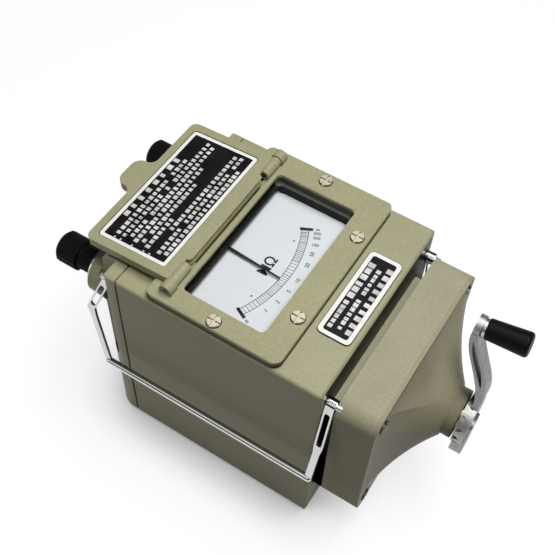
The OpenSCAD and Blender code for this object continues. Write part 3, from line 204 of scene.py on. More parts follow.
def enamel_group():
    tree, given, out = start_group(
        "sprayed_enamel",
        [("Colour", COLOUR, (0.35, 0.34, 0.2, 1)), ("Peel Size", FLOAT, 900.0),
         ("Cloud Depth", FLOAT, 0.1), ("Sheen Low", FLOAT, 0.38), ("Sheen High", FLOAT, 0.52)],
        [("Colour", COLOUR), ("Roughness", FLOAT), ("Height", FLOAT), ("Edge", FLOAT)])
    where = object_place(tree)
    peel = add(tree, "ShaderNodeTexNoise", Vector=where, Scale=given.outputs["Peel Size"],
               Detail=2.0, Roughness=0.45).outputs["Fac"]
    cloud = add(tree, "ShaderNodeTexNoise", Vector=where, Scale=CLOUD_SCALE, Detail=4.0,
                Roughness=0.6).outputs["Fac"]
    speck = add(tree, "ShaderNodeTexVoronoi", Vector=where, Scale=SPECK_SCALE)
    speck_mask = remap(tree, speck.outputs["Distance"], 0.04, 0.17, 1.0, 0.0)
    tone = remap(tree, cloud, 0.3, 0.7, -1.0, 1.0)
    shift = math_node(tree, "MULTIPLY", tone, given.outputs["Cloud Depth"])
    grain = remap(tree, peel, 0.3, 0.7, -GRAIN_DEPTH, GRAIN_DEPTH)
    level = math_node(tree, "ADD", math_node(tree, "ADD", shift, grain), 1.0)
    level = math_node(tree, "ADD", level, math_node(tree, "MULTIPLY", speck_mask, SPECK_LIFT))
    raised = math_node(tree, "MULTIPLY", speck_mask, SPECK_HEIGHT)
    rounded = add(tree, "ShaderNodeBevel", {"samples": 4}, Radius=EDGE_RADIUS)
    facing = add(tree, "ShaderNodeVectorMath", {"operation": "DOT_PRODUCT"})
    feed(tree, facing.inputs[0], rounded.outputs[0])
    feed(tree, facing.inputs[1], true_normal(tree))
    return end_group(
        tree, out,
        Colour=scaled(tree, given.outputs["Colour"], level),
        Roughness=remap(tree, cloud, 0.0, 1.0, given.outputs["Sheen Low"],
                        given.outputs["Sheen High"]),
        Height=math_node(tree, "ADD", peel, raised),
        Edge=remap(tree, facing.outputs["Value"], 0.985, 0.86, 0.0, 1.0))


enamel = enamel_group()
print("enamel group has", len(enamel.nodes), "nodes")

# %% [markdown]
# ## The enamelled shells
# Five shells share the enamel and differ in tone, gloss and in what is painted at their
# joints: the slot between case and housing is painted black as painted shade, and painted
# shade darkens the step under the bezel and the relief at the hinge. The bell's colour is
# partly a browner tone and partly painted shade for its slopes. Painting these by place
# keeps the CAD meshes whole. A place is told by limits along X, Y and Z that all have to
# hold. On the bell, a wide bevel of the normal softens the crease where its sides meet.

# %% The enamels
OVER, UNDER = "GREATER_THAN", "LESS_THAN"
SKIN_DEPTH = 0.25 * mm
EDGE_HIGHLIGHT_LIFT, EDGE_HIGHLIGHT_SHARE = 1.22, 0.55


def enamel_finish(name, colour, cloud_depth=0.05, bump=0.12, gloss=0.30, painted_light_shade=(), soft=None):
    """Pairs of a colour and the limits of its place paint light or shade on the enamel by place.
    soft: begin and end along X, radius.
    """
    mat, tree, shader = start_material(name)
    skin = place(tree, enamel, Colour=colour, Cloud_Depth=cloud_depth)
    # The edges are painted lighter: a painted highlight on the rounded edges.
    highlit_edge_colour = tuple(min(1.0, c * EDGE_HIGHLIGHT_LIFT) for c in colour[:3]) + (1,)
    edge_highlight = math_node(tree, "MULTIPLY", skin.outputs["Edge"], EDGE_HIGHLIGHT_SHARE)
    tint = blend_colour(tree, edge_highlight, skin.outputs["Colour"], highlit_edge_colour)
    dents = add(tree, "ShaderNodeBump", Strength=bump, Distance=SKIN_DEPTH,
                Height=skin.outputs["Height"])
    along = add(tree, "ShaderNodeSeparateXYZ", Vector=object_place(tree))
    # Each listed colour is painted light or shade over its place.
    for other, limits in painted_light_shade:
        inside = 1.0
        for axis, side, limit in limits:
            past = math_node(tree, side, along.outputs[axis], limit)
            inside = math_node(tree, "MULTIPLY", inside, past)
        tint = blend_colour(tree, inside, tint, other)
    if soft:
        begin, end, radius = soft
        rounded = add(tree, "ShaderNodeBevel", {"samples": 8}, Radius=radius)
        turned = add(tree, "ShaderNodeMix", {"data_type": "VECTOR"})
        feed(tree, turned.inputs[0], remap(tree, along.outputs["X"], begin, end, 0.0, 1.0))
        feed(tree, turned.inputs[4], true_normal(tree))
        feed(tree, turned.inputs[5], rounded.outputs[0])
        feed(tree, dents.inputs["Normal"], turned.outputs[1])
    dress(tree, shader, tint, skin.outputs["Roughness"], dents.outputs[0])
    shader.inputs["Specular IOR Level"].default_value = gloss
    return mat


case_end, bell_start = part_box("main_case")[1].x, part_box("end_bell")[0].x
bezel_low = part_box("bezel")[0]
house_low, house_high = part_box("crank_housing")
BEZEL_HIGH, STEP, HAIR = 5.0 * mm, 3.0 * mm, 0.05 * mm
SLOT, NECK_DROP = 6.0 * mm, 14.0 * mm
RELIEF_LONG, RELIEF_HALF, RELIEF_DEEP = 12.0 * mm, 30.0 * mm, 0.35 * mm
CREASE = (bell_start + 8 * mm, bell_start + 16 * mm, 14 * mm)
bezel_top = bezel_low.z + BEZEL_HIGH
OLIVE, OLIVE_GREY = (0.352, 0.342, 0.205, 1), (0.365, 0.345, 0.235, 1)
# The bell's colour is partly a browner tone and partly painted shade for its sloped sides.
SHADED_OLIVE_BROWN = (0.320, 0.298, 0.198, 1)
# Both dark colours are painted shade: near-black for the deep slot, dark olive for the step under
# the bezel and the hinge relief.
SLOT_SHADE_BLACK, PAINTED_SHADE_OLIVE = (0.006, 0.006, 0.005, 1), (0.036, 0.032, 0.014, 1)
# Painted shade: the case's faces behind the housing are painted black, where the deep slot lies in
# shade.
behind_housing = [("X", OVER, case_end - HAIR), ("Z", OVER, house_low.z),
                  ("Y", OVER, house_low.y), ("Y", UNDER, house_high.y)]
# Painted shade: the relief at the hinge is painted dark, where it lies in shade.
hinge_relief = [("X", UNDER, bezel_low.x + RELIEF_LONG), ("Z", UNDER, bezel_top - RELIEF_DEEP),
                ("Y", UNDER, RELIEF_HALF), ("Y", OVER, -RELIEF_HALF)]
# Painted shade: the housing's faces in the slot below the neck top are painted black.
under_neck = [("X", UNDER, case_end + SLOT + HAIR),
              ("Z", UNDER, house_high.z - NECK_DROP - 2 * HAIR)]
# Painted shade: the lower part of the bezel's sides is painted dark, as the shaded step under the
# bezel.
under_bezel = [("Z", UNDER, bezel_low.z + STEP)]
olive = enamel_finish("olive_enamel", OLIVE)
olive_case = enamel_finish("olive_case", OLIVE, painted_light_shade=[(SLOT_SHADE_BLACK, behind_housing)])
olive_bezel = enamel_finish("olive_bezel", OLIVE, gloss=0.15,
                            painted_light_shade=[(PAINTED_SHADE_OLIVE, under_bezel), (PAINTED_SHADE_OLIVE, hinge_relief)])
olive_housing = enamel_finish("olive_rough_housing", OLIVE_GREY, 0.07, 0.2, 0.12,
                              painted_light_shade=[(SLOT_SHADE_BLACK, under_neck)])
olive_bell = enamel_finish("olive_rough_bell", SHADED_OLIVE_BROWN, 0.07, 0.2, 0.16, soft=CREASE)
print("enamels:", [m.name for m in (olive, olive_case, olive_bezel, olive_housing, olive_bell)])

# %% [markdown]
# ## Metals
# Chrome, turned steel, brass and bare casting differ in colour and in how rough they
# are, and share one habit: fine marks stretched along the tool's path. A single group
# with a stretched noise gives these marks, and each metal places it with its own values.

# %% The metal group and the metals
STAIN_SCALE = 90.0
MARK_DEPTH = 0.2 * mm


def tool_mark_group():
    tree, given, out = start_group(
        "tool_marks",
        [("Colour", COLOUR, (0.6, 0.6, 0.6, 1)), ("Mark Size", FLOAT, 700.0),
         ("Stretch", FLOAT, 0.08), ("Rough Low", FLOAT, 0.2), ("Rough High", FLOAT, 0.4),
         ("Stain", FLOAT, 0.1)],
        [("Colour", COLOUR), ("Roughness", FLOAT), ("Height", FLOAT)])
    where = object_place(tree)
    parts = add(tree, "ShaderNodeSeparateXYZ", Vector=where)
    squeezed = math_node(tree, "MULTIPLY", parts.outputs["X"], given.outputs["Stretch"])
    joined = add(tree, "ShaderNodeCombineXYZ", X=squeezed, Y=parts.outputs["Y"],
                 Z=parts.outputs["Z"])
    marks = add(tree, "ShaderNodeTexNoise", Vector=joined.outputs[0],
                Scale=given.outputs["Mark Size"], Detail=3.0, Roughness=0.6).outputs["Fac"]
    stain = add(tree, "ShaderNodeTexNoise", Vector=where, Scale=STAIN_SCALE, Detail=3.0)
    spread = remap(tree, stain.outputs["Fac"], 0.35, 0.75, 0.0, 1.0)
    fade = math_node(tree, "MULTIPLY", spread, given.outputs["Stain"])
    return end_group(
        tree, out,
        Colour=scaled(tree, given.outputs["Colour"], math_node(tree, "SUBTRACT", 1.0, fade)),
        Roughness=remap(tree, marks, 0.25, 0.75, given.outputs["Rough Low"],
                        given.outputs["Rough High"]),
        Height=marks)


tool_marks = tool_mark_group()


def metal_finish(name, colour, low, high, bump=0.03, metallic=1.0, **values):
    """low, high: the range of roughness. values: other inputs of the group."""
    mat, tree, shader = start_material(name)
    skin = place(tree, tool_marks, Colour=colour + (1,), Rough_Low=low, Rough_High=high, **values)
    dents = add(tree, "ShaderNodeBump", Strength=bump, Distance=MARK_DEPTH,
                Height=skin.outputs["Height"])
    dress(tree, shader, skin.outputs["Colour"], skin.outputs["Roughness"], dents.outputs[0])
    shader.inputs["Metallic"].default_value = metallic
    return mat


chrome = metal_finish("bright_chrome", (0.62, 0.62, 0.62), 0.07, 0.18, 0.015, Stain=0.08)
nickel = metal_finish("nickel_screw", (0.64, 0.59, 0.46), 0.45, 0.62, 0.05, 0.5, Stain=0.15)
alloy = metal_finish("tumbled_alloy", (0.36, 0.36, 0.35), 0.38, 0.60, 0.25,
                     Stretch=1.0, Mark_Size=520.0)
steel = metal_finish("turned_steel", (0.56, 0.56, 0.57), 0.25, 0.45, 0.05)
blued = metal_finish("blackened_screw", (0.10, 0.10, 0.10), 0.3, 0.5, 0.05)
brass = metal_finish("turned_brass", (0.72, 0.52, 0.22), 0.2, 0.4, 0.05)
cast = metal_finish("bare_casting", (0.58, 0.58, 0.58), 0.45, 0.7, 0.3,
                    Stretch=1.0, Mark_Size=900.0)
ferrite = metal_finish("ground_magnet", (0.13, 0.13, 0.14), 0.4, 0.6, 0.1, 0.7)
print("metals made")

# %% [markdown]
# ## Black mouldings, rubber, laminate and paint
# The knobs and the grip are pressed from a black resin with a skin of flow marks, the
# feet are rubber, and the plates are satin black. These, the inks and the parts of the
# circuit share one group: a colour, a fine fleck and a slow change of gloss. The
# window's liner takes the enamel instead, so that its far ledge can be painted a lighter
# grey than its walls, as painted light where light falls on that ledge.

# %% The moulding group and its finishes
FLOW_SCALE = 110.0
GRAIN_HEIGHT = 0.1 * mm


def moulding_group():
    tree, given, out = start_group(
        "moulded_skin",
        [("Colour", COLOUR, (0.015, 0.015, 0.015, 1)), ("Fleck", FLOAT, 0.4),
         ("Grain Size", FLOAT, 1400.0), ("Rough Low", FLOAT, 0.25), ("Rough High", FLOAT, 0.4)],
        [("Colour", COLOUR), ("Roughness", FLOAT), ("Height", FLOAT)])
    where = object_place(tree)
    grain = add(tree, "ShaderNodeTexNoise", Vector=where, Scale=given.outputs["Grain Size"],
                Detail=2.0)
    flow = add(tree, "ShaderNodeTexNoise", Vector=where, Scale=FLOW_SCALE, Detail=4.0,
               Distortion=0.6).outputs["Fac"]
    drift = remap(tree, flow, 0.3, 0.7, -1.0, 1.0)
    level = math_node(tree, "MULTIPLY", drift, given.outputs["Fleck"])
    return end_group(
        tree, out,
        Colour=scaled(tree, given.outputs["Colour"], math_node(tree, "ADD", level, 1.0)),
        Roughness=remap(tree, flow, 0.0, 1.0, given.outputs["Rough Low"],
                        given.outputs["Rough High"]),
        Height=grain.outputs["Fac"])


moulded = moulding_group()


def moulded_finish(name, colour, low, high, bump=0.05, gloss=0.5, **values):
    """low, high: the range of roughness. values: other inputs of the group."""
    mat, tree, shader = start_material(name)
    skin = place(tree, moulded, Colour=colour + (1,), Rough_Low=low, Rough_High=high, **values)
    grain = add(tree, "ShaderNodeBump", Strength=bump, Distance=GRAIN_HEIGHT,
                Height=skin.outputs["Height"])
    dress(tree, shader, skin.outputs["Colour"], skin.outputs["Roughness"], grain.outputs[0])
    shader.inputs["Specular IOR Level"].default_value = gloss
    return mat


resin = moulded_finish("black_resin", (0.005, 0.005, 0.005), 0.35, 0.55, 0.06, 0.09)
rubber = moulded_finish("foot_rubber", (0.022, 0.022, 0.022), 0.7, 0.9, 0.2)
plate_black = moulded_finish("plate_black", (0.009, 0.008, 0.009), 0.4, 0.55, 0.04, 0.12)
dial_white = moulded_finish("dial_enamel", (0.70, 0.715, 0.745), 0.5, 0.6, 0.02, 0.2, Fleck=0.02)
print_white = moulded_finish("plate_white", (0.86, 0.85, 0.82), 0.4, 0.55, 0.03, 0.3, Fleck=0.04)
print_grey = moulded_finish("plate_grey", (0.62, 0.62, 0.60), 0.4, 0.55, 0.03, 0.3, Fleck=0.25)
ink = moulded_finish("dial_ink", (0.009, 0.009, 0.010), 0.5, 0.65, 0.03, 0.15)
# A dark brown used as painted shadow in the seats round the bezel screws.
seat_shadow = moulded_finish("screw_seat", (0.07, 0.055, 0.035), 0.6, 0.8, 0.05, 0.1)
needle = moulded_finish("needle_black", (0.008, 0.008, 0.008), 0.5, 0.65, 0.03, 0.1)
laminate = moulded_finish("board_laminate", (0.05, 0.19, 0.08), 0.35, 0.5, 0.1, Fleck=0.25)
sleeve = moulded_finish("can_sleeve", (0.03, 0.05, 0.16), 0.25, 0.35, 0.03)
clay = moulded_finish("resistor_clay", (0.36, 0.16, 0.08), 0.6, 0.8, 0.2, Fleck=0.2)

liner_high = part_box("window_frame")[1]
LEDGE_DROP, LEDGE_REACH = 3.0 * mm, 6.0 * mm
# The lighter grey of the far ledge is painted light, where light falls on the ledge.
LINER_BLACK, LEDGE_PAINTED_LIGHT = (0.0035, 0.0035, 0.003, 1), (0.13, 0.13, 0.11, 1)
far_ledge = [("Z", OVER, liner_high.z - LEDGE_DROP - HAIR), ("Y", OVER, liner_high.y - LEDGE_REACH)]
liner_black = enamel_finish("liner_black", LINER_BLACK, gloss=0.08, painted_light_shade=[(LEDGE_PAINTED_LIGHT, far_ledge)])
print("mouldings and paints made")

# %% [markdown]
# ## Windings and the window
# A winding is a stack of thin lacquered wires, so a fine wave does for its height and
# its colour. The window is clear glass: light for shadows passes straight through it,
# because a solid pane would otherwise leave the dial in the dark. Its index of refraction
# is set low, as if the pane were coated, so that the lamp doesn't wash out the scale.

# %% Copper winding and glass
WIRE_SCALE, WIRE_HEIGHT = 900.0, 0.15 * mm
WIRE_DARK, WIRE_BRIGHT, WIRE_ROUGH = (0.20, 0.06, 0.025, 1), (0.58, 0.24, 0.10, 1), 0.35
COATED_INDEX = 1.14


def winding_finish():
    mat, tree, shader = start_material("lacquered_winding")
    wires = add(tree, "ShaderNodeTexWave", {"bands_direction": "X"}, Vector=object_place(tree),
                Scale=WIRE_SCALE, Distortion=0.4).outputs["Fac"]
    lay = add(tree, "ShaderNodeBump", Strength=0.6, Distance=WIRE_HEIGHT, Height=wires)
    dress(tree, shader, blend_colour(tree, wires, WIRE_DARK, WIRE_BRIGHT), WIRE_ROUGH,
          lay.outputs[0])
    shader.inputs["Metallic"].default_value = 0.8
    return mat


def window_finish():
    mat, tree, shader = start_material("window_glass")
    shader.inputs["Base Color"].default_value = (0.97, 0.99, 0.98, 1)
    shader.inputs["Transmission Weight"].default_value = 1.0
    shader.inputs["Roughness"].default_value = 0.0
    shader.inputs["IOR"].default_value = COATED_INDEX
    clear = add(tree, "ShaderNodeBsdfTransparent")
    ray = tree.nodes.new("ShaderNodeLightPath").outputs
    either = math_node(tree, "MAXIMUM", ray["Is Shadow Ray"], ray["Is Diffuse Ray"])
    choose_shader(tree, either, shader.outputs[0], clear.outputs[0])
    return mat


winding = winding_finish()
glass = window_finish()
print("winding and glass made")

# %% [markdown]
# ## Every CAD piece gets its finish
# The CAD meshes already have the right shape and smooth normals, so they stay, and
# only the material in each slot is exchanged.

# %% Assign the finishes
finishes = {
    olive: ["end_cap", "lid", "bottom_cover"],
    olive_case: ["main_case"],
    olive_bezel: ["bezel"],
    olive_housing: ["crank_housing"],
    olive_bell: ["end_bell"],
    rubber: ["feet"],
    liner_black: ["window_frame"],
    plate_black: ["nameplate", "lid_plate"],
    glass: ["glass"],
    dial_white: ["dial"],
    needle: ["pointer"],
    chrome: ["front_bail", "rear_bail", "terminal_rings"],
    nickel: ["bezel_screws"],
    alloy: ["crank_arm"],
    resin: ["knob_near", "knob_far", "grip", "terminal_bushes"],
    blued: ["cap_screws", "neck_screws", "bell_screws", "hinge_pin"],
    steel: ["cover_screws", "bail_pins", "crank_shaft", "crank_screw", "grip_pin", "dial_support",
            "idler_post", "idler_pinion", "rotor_shaft", "rotor_pinion", "stator", "gen_tie_rods",
            "pole_pieces", "meter_core"],
    brass: ["terminal_studs", "terminal_nuts", "crank_bush", "drive_gear", "idler_wheel",
            "gen_bushes", "dial_pillars", "movement_frame", "core_bridge"],
    cast: ["gen_bracket_right", "gen_bracket_left"],
    ferrite: ["rotor_magnet", "meter_magnet"],
    winding: ["stator_coils", "moving_coils"],
    laminate: ["circuit_board"],
    sleeve: ["capacitors"],
    clay: ["resistors"],
}
dressed = set()
for finish, names in finishes.items():
    for name in names:
        for slot in cad[name].material_slots:
            slot.material = finish
        dressed.add(name)
print("dressed", len(dressed), "of", len(cad), "left plain:", sorted(set(cad) - dressed))

# %% [markdown]
# ## Where printing goes
# The dial and the two plates carry printing. Each has its own flat top, and the lid's
# plate leans a little, so the plane is read from the CAD mesh: the largest face that
# points up gives the normal, and the reader's right is +Y on all three.

# %% Find a plate's printed face
def printed_face(name):
    """The plane of a plate's top as a matrix, and the reader's upward direction."""
    mesh = cad[name].data
    largest = max((p for p in mesh.polygons if p.normal.z > 0.5), key=lambda p: p.area)
    normal = largest.normal.copy()
    top = max(v.co.dot(normal) for v in mesh.vertices)
    low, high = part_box(name)
    middle = (low + high) / 2
    middle += normal * (top - middle.dot(normal))
    right = Vector((0, 1, 0))
    upward = normal.cross(right).normalized()
    turn = Matrix((right, upward, normal)).transposed().to_4x4()
    return Matrix.Translation(middle) @ turn, upward


for name in ("dial", "nameplate", "lid_plate"):
    print(name, "faces", [round(c, 3) for c in printed_face(name)[0].col[2][:3]])

# %% [markdown]
# ## A tree for printed marks
# Scale ticks and rows of print are the same thing: a small bar, set down many times at
# a given place and turn. Copying bars by hand in a loop would work, but Geometry Nodes
# say it once. Points carry the turn, length and width, a bar is set on each, and the
# copies are made real before the ink is set.

# %% The printed marks tree
FILM = 0.06 * mm
BAR_VALUES = ("turn", "length", "width")


def marks_tree():
    tree = bpy.data.node_groups.new("printed_marks", "GeometryNodeTree")
    face = tree.interface
    face.new_socket("Geometry", in_out="INPUT", socket_type="NodeSocketGeometry")
    thick = face.new_socket("Film Thickness", in_out="INPUT", socket_type="NodeSocketFloat")
    inked = face.new_socket("Ink", in_out="INPUT", socket_type="NodeSocketMaterial")
    face.new_socket("Geometry", in_out="OUTPUT", socket_type="NodeSocketGeometry")
    given, out = tree.nodes.new("NodeGroupInput"), tree.nodes.new("NodeGroupOutput")
    read = {}
    for label in BAR_VALUES:
        named = add(tree, "GeometryNodeInputNamedAttribute", {"data_type": "FLOAT"}, Name=label)
        read[label] = named.outputs[0]
    bar = add(tree, "GeometryNodeMeshCube", Size=(1, 1, 1))
    turn = add(tree, "ShaderNodeCombineXYZ", Z=read["turn"])
    size = add(tree, "ShaderNodeCombineXYZ", X=read["length"], Y=read["width"],
               Z=given.outputs["Film Thickness"])
    laid = add(tree, "GeometryNodeInstanceOnPoints", Points=given.outputs["Geometry"],
               Instance=bar.outputs["Mesh"], Rotation=turn.outputs[0], Scale=size.outputs[0])
    real = add(tree, "GeometryNodeRealizeInstances", Geometry=laid.outputs[0])
    wet = add(tree, "GeometryNodeSetMaterial", Geometry=real.outputs[0],
              Material=given.outputs["Ink"])
    tree.links.new(wet.outputs[0], out.inputs[0])
    return tree, thick.identifier, inked.identifier


print_tree, thick_id, ink_id = marks_tree()


def final_mesh(holder):
    """The mesh of an object after its modifiers. The object itself is removed."""
    reader = bpy.context.evaluated_depsgraph_get()
    mesh = bpy.data.meshes.new_from_object(holder.evaluated_get(reader))
    bpy.data.objects.remove(holder)
    return mesh


def printed_bars(bars, material):
    """A mesh of bars, each given as (x, y, turn, length, width) in metres on a flat sheet."""
    mesh = bpy.data.meshes.new("bar_points")
    mesh.from_pydata([(b[0], b[1], 0) for b in bars], [], [])
    for index, label in enumerate(BAR_VALUES):
        values = mesh.attributes.new(label, "FLOAT", "POINT")
        values.data.foreach_set("value", [b[2 + index] for b in bars])
    holder = new_object("bar_points", mesh)
    modifier = holder.modifiers.new("marks", "NODES")
    modifier.node_group = print_tree
    modifier[thick_id] = FILM
    modifier[ink_id] = material
    result = final_mesh(holder)
    for label in [a.name for a in result.attributes if a.name in BAR_VALUES]:
        result.attributes.remove(result.attributes[label])
    return result


print("tree ready with a film of", FILM, "m")

# %% [markdown]
# ## Bands, rounded frames and figures
# The arcs of the scale and the white frames of the plates are thin closed bands, built
# from two matching outlines. Figures are text turned into mesh. Everything is drawn on
# a flat sheet first and then laid on its plate in one step.

# %% Bands and figures
LIFT = 0.01 * mm


def band_mesh(outer, inner, closed):
    """A flat band of film thickness between two outlines with matching points."""
    made = bmesh.new()
    top, low = FILM / 2, -FILM / 2
    rings = []
    for outline, z in ((outer, top), (inner, top), (inner, low), (outer, low)):
        rings.append([made.verts.new((x, y, z)) for x, y in outline])
    count = len(outer)
    for index in range(count if closed else count - 1):
        after = (index + 1) % count
        for ring, other in zip(rings, rings[1:] + rings[:1]):
            made.faces.new((ring[index], ring[after], other[after], other[index]))
    if not closed:
        made.faces.new([ring[0] for ring in rings])
        made.faces.new([ring[-1] for ring in rings][::-1])
    bmesh.ops.recalc_face_normals(made, faces=made.faces)
    mesh = bpy.data.meshes.new("band")
    made.to_mesh(mesh)
    made.free()
    return mesh


def rounded_outline(wide, tall, radius, steps=8):
    points = []
    for side_x, side_y, begin in ((1, 1, 0), (-1, 1, 90), (-1, -1, 180), (1, -1, 270)):
        for step in range(steps + 1):
            angle = math.radians(begin + 90 * step / steps)
            points.append((side_x * (wide / 2 - radius) + radius * math.cos(angle),
                           side_y * (tall / 2 - radius) + radius * math.sin(angle)))
    return points


def figure_mesh(words, size, bold):
    curve = bpy.data.curves.new("figure", "FONT")
    curve.body = words
    curve.size = size
    curve.align_x = "CENTER"
    curve.align_y = "CENTER"
    curve.offset = bold
    curve.extrude = FILM / 2
    curve.resolution_u = 4
    return final_mesh(new_object("figure", curve))


def lay_down(name, meshes, face, body, material):
    """Joins flat meshes into one piece and lays it on a plate."""
    joined = bmesh.new()
    for mesh in meshes:
        joined.from_mesh(mesh)
    for each in joined.faces:
        each.material_index = 0
    result = bpy.data.meshes.new(name)
    joined.to_mesh(result)
    joined.free()
    result.materials.append(material)
    result.transform(face @ Matrix.Translation((0, 0, FILM / 2 + LIFT)))
    piece = new_object(name, result)
    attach(piece, body)
    print(name, "has", len(result.polygons), "faces")


print("band and figure tools ready")

# %% [markdown]
# ## The scale on the dial
# The scale is a double arc round the pointer's pivot, crossed by ticks, with a bold bar
# at each end, plain numbers outside and the unit in the middle. The steps crowd towards
# one end, as they do on any ohm scale, so each number has its own share of the arc, and
# the crowded ones read outwards.

# %% Print the dial
hinge_of_needle = next(j for j in frame["joints"] if j["name"] == "pointer_turn")
pivot_x, pivot_y = hinge_of_needle["pos_m"][:2]
dial_face = printed_face("dial")[0]
dial_middle = dial_face.translation
pivot_up, pivot_right = dial_middle.x - pivot_x, pivot_y - dial_middle.y

ARC_IN, ARC_OUT, ARC_HALF = 67.8 * mm, 71.8 * mm, math.radians(27.1)
ARC_LINE, ARC_STEPS = 0.3 * mm, 60
LONG_TICK, SHORT_TICK = 0.36 * mm, 0.22 * mm
END_AT, END_WIDE, END_TALL = 70.4 * mm, 1.8 * mm, 7.2 * mm
DOT_AT, DOT_SIDE, DOT_SHARES = 64.9 * mm, 0.9 * mm, (0.16, 0.857)
NUMBER_AT, NUMBER_SIZE, NUMBER_BOLD = 76.4 * mm, 3.2 * mm, 0.03 * mm
CROWDED_FROM, CROWDED_SIZE = 0.8, 2.7 * mm
UNIT_AT, UNIT_SIZE, UNIT_BOLD = 58.4 * mm, 8.4 * mm, 0.16 * mm
numbers = ["0", "1", "2", "5", "10", "20", "50", "100", "200", "500", "∞"]
shares = [0.0, 0.162, 0.273, 0.394, 0.506, 0.66, 0.768, 0.855, 0.921, 0.963, 1.0]
splits = [5, 5, 6, 5, 5, 6, 5, 4, 3, 2]


def on_arc(share, radius):
    """A point of the sheet: reader's right is +x, and the pivot is above the sheet's middle."""
    angle = -ARC_HALF + 2 * ARC_HALF * share
    return pivot_right + radius * math.sin(angle), pivot_up - radius * math.cos(angle), angle


arc_shares = [i / ARC_STEPS for i in range(ARC_STEPS + 1)]
dial_marks = []
for radius in (ARC_IN, ARC_OUT):
    outer = [on_arc(s, radius + ARC_LINE / 2)[:2] for s in arc_shares]
    inner = [on_arc(s, radius - ARC_LINE / 2)[:2] for s in arc_shares]
    dial_marks.append(band_mesh(outer, inner, False))
ticks = []
for index, count in enumerate(splits):
    for step in range(count):
        share = shares[index] + (shares[index + 1] - shares[index]) * step / count
        wide = LONG_TICK if step == 0 else SHORT_TICK
        ticks.append((*on_arc(share, (ARC_IN + ARC_OUT) / 2), wide, ARC_OUT - ARC_IN))
ticks += [(*on_arc(share, END_AT), END_WIDE, END_TALL) for share in (0.0, 1.0)]
ticks += [(*on_arc(share, DOT_AT), DOT_SIDE, DOT_SIDE) for share in DOT_SHARES]
dial_marks.append(printed_bars(ticks, ink))
for words, share in zip(numbers, shares):
    x, y, angle = on_arc(share, NUMBER_AT)
    crowded = share > CROWDED_FROM
    figure = figure_mesh(words, CROWDED_SIZE if crowded else NUMBER_SIZE, NUMBER_BOLD)
    turn = angle - math.pi / 2 if crowded else angle
    figure.transform(Matrix.Translation((x, y, 0)) @ Matrix.Rotation(turn, 4, "Z"))
    dial_marks.append(figure)
unit = figure_mesh("MΩ", UNIT_SIZE, UNIT_BOLD)
unit.transform(Matrix.Translation((pivot_right, pivot_up - UNIT_AT, 0)))
dial_marks.append(unit)
lay_down("dial_print", dial_marks, dial_face, "case", ink)

# %% [markdown]
# ## The printing on the two plates
# On the real tester these plates hold words. Here their place is generic: a white frame
# and rows of plain blocks, with gaps where words would end. The block sizes are drawn
# from a seeded generator, so the plates come out the same each time.

# %% Print the plates
LEAST_LONG, LEAST_TALL = 0.62, 0.75
ROUND_LOSS, LEAST_ROUND = 0.6, 0.3 * mm


def plate_print(node, body, margin, frame_wide, radius, rows, seed, gaps):
    """rows: (up, size, begin, end, pitch), in millimetres from the plate's middle."""
    low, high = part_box(node)
    face, upward = printed_face(node)
    wide, tall = high.y - low.y, (high.x - low.x) / abs(upward.x)
    inset = margin + frame_wide
    edge = rounded_outline(wide - 2 * margin, tall - 2 * margin, radius)
    within = rounded_outline(wide - 2 * inset, tall - 2 * inset,
                             max(radius - frame_wide * ROUND_LOSS, LEAST_ROUND))
    lay_down(node + "_border", [band_mesh(edge, within, True)], face, body,
             print_white)
    draw = random.Random(seed)
    blocks = []
    for row in rows:
        up, size, x, end, pitch = (value * mm for value in row)
        while x < end:
            if draw.random() >= gaps:
                block_long = size * (LEAST_LONG + (1 - LEAST_LONG) * draw.random())
                block_tall = size * (LEAST_TALL + (1 - LEAST_TALL) * draw.random())
                blocks.append((x + block_long / 2, up, 0.0, block_long, block_tall))
            x += pitch
    lay_down(node + "_rows", [printed_bars(blocks, print_grey)], face, body,
             print_grey)


side_rows = [(4.6, 2.8, -24.0, -5.0, 3.2), (4.6, 3.8, -3.4, 21.0, 4.4),
             (-0.3, 2.6, -22.5, -3.0, 3.1), (-0.3, 2.6, 1.5, 19.0, 3.1),
             (-5.2, 3.6, -23.5, 21.0, 4.8)]
plate_print("nameplate", "case", margin=0.3 * mm, frame_wide=2.3 * mm, radius=2.7 * mm,
            rows=side_rows, seed=3, gaps=0.0)

ROW_TOP, ROW_STEP, BLOCK_SIZE, BLOCK_PITCH = 12.4, 3.65, 2.6, 3.4
ITEM_SIZE, ITEM_BEGIN, ITEM_END = 1.2, -41.0, -40.0
HEAD_ROW = (16.7, 3.6, -26.4, 27.0, 6.35)
row_ends = ((-38, 20), (-38, 39), (-36, 38), (-38, 22), (-36, 11), (-38, -16), (-22, 38),
            (-38, 37), (-37, 28))
item_rows = (0, 1, 3, 5, 6)
row_up = [ROW_TOP - index * ROW_STEP for index in range(len(row_ends))]
lid_rows = [HEAD_ROW]
for up, (begin, end) in zip(row_up, row_ends):
    lid_rows.append((up, BLOCK_SIZE, begin, end, BLOCK_PITCH))
for index in item_rows:
    lid_rows.append((row_up[index], ITEM_SIZE, ITEM_BEGIN, ITEM_END, BLOCK_PITCH))
plate_print("lid_plate", "lid", margin=0.25 * mm, frame_wide=2.0 * mm, radius=1.8 * mm,
            rows=lid_rows, seed=8, gaps=0.07)

# %% [markdown]
# ## Shadow rings round the bezel screws
# Each screw head sits in a shallow seat, and the gap round it lies in shade. A thin
# dark band on the bezel is painted shadow for that ring. The places come from the
# screws' own mesh: its points fall into four groups by the side of the bezel they are on.

# %% Ring the screws
RING_GAP, RING_WIDE, RING_STEPS = 0.02 * mm, 0.55 * mm, 40


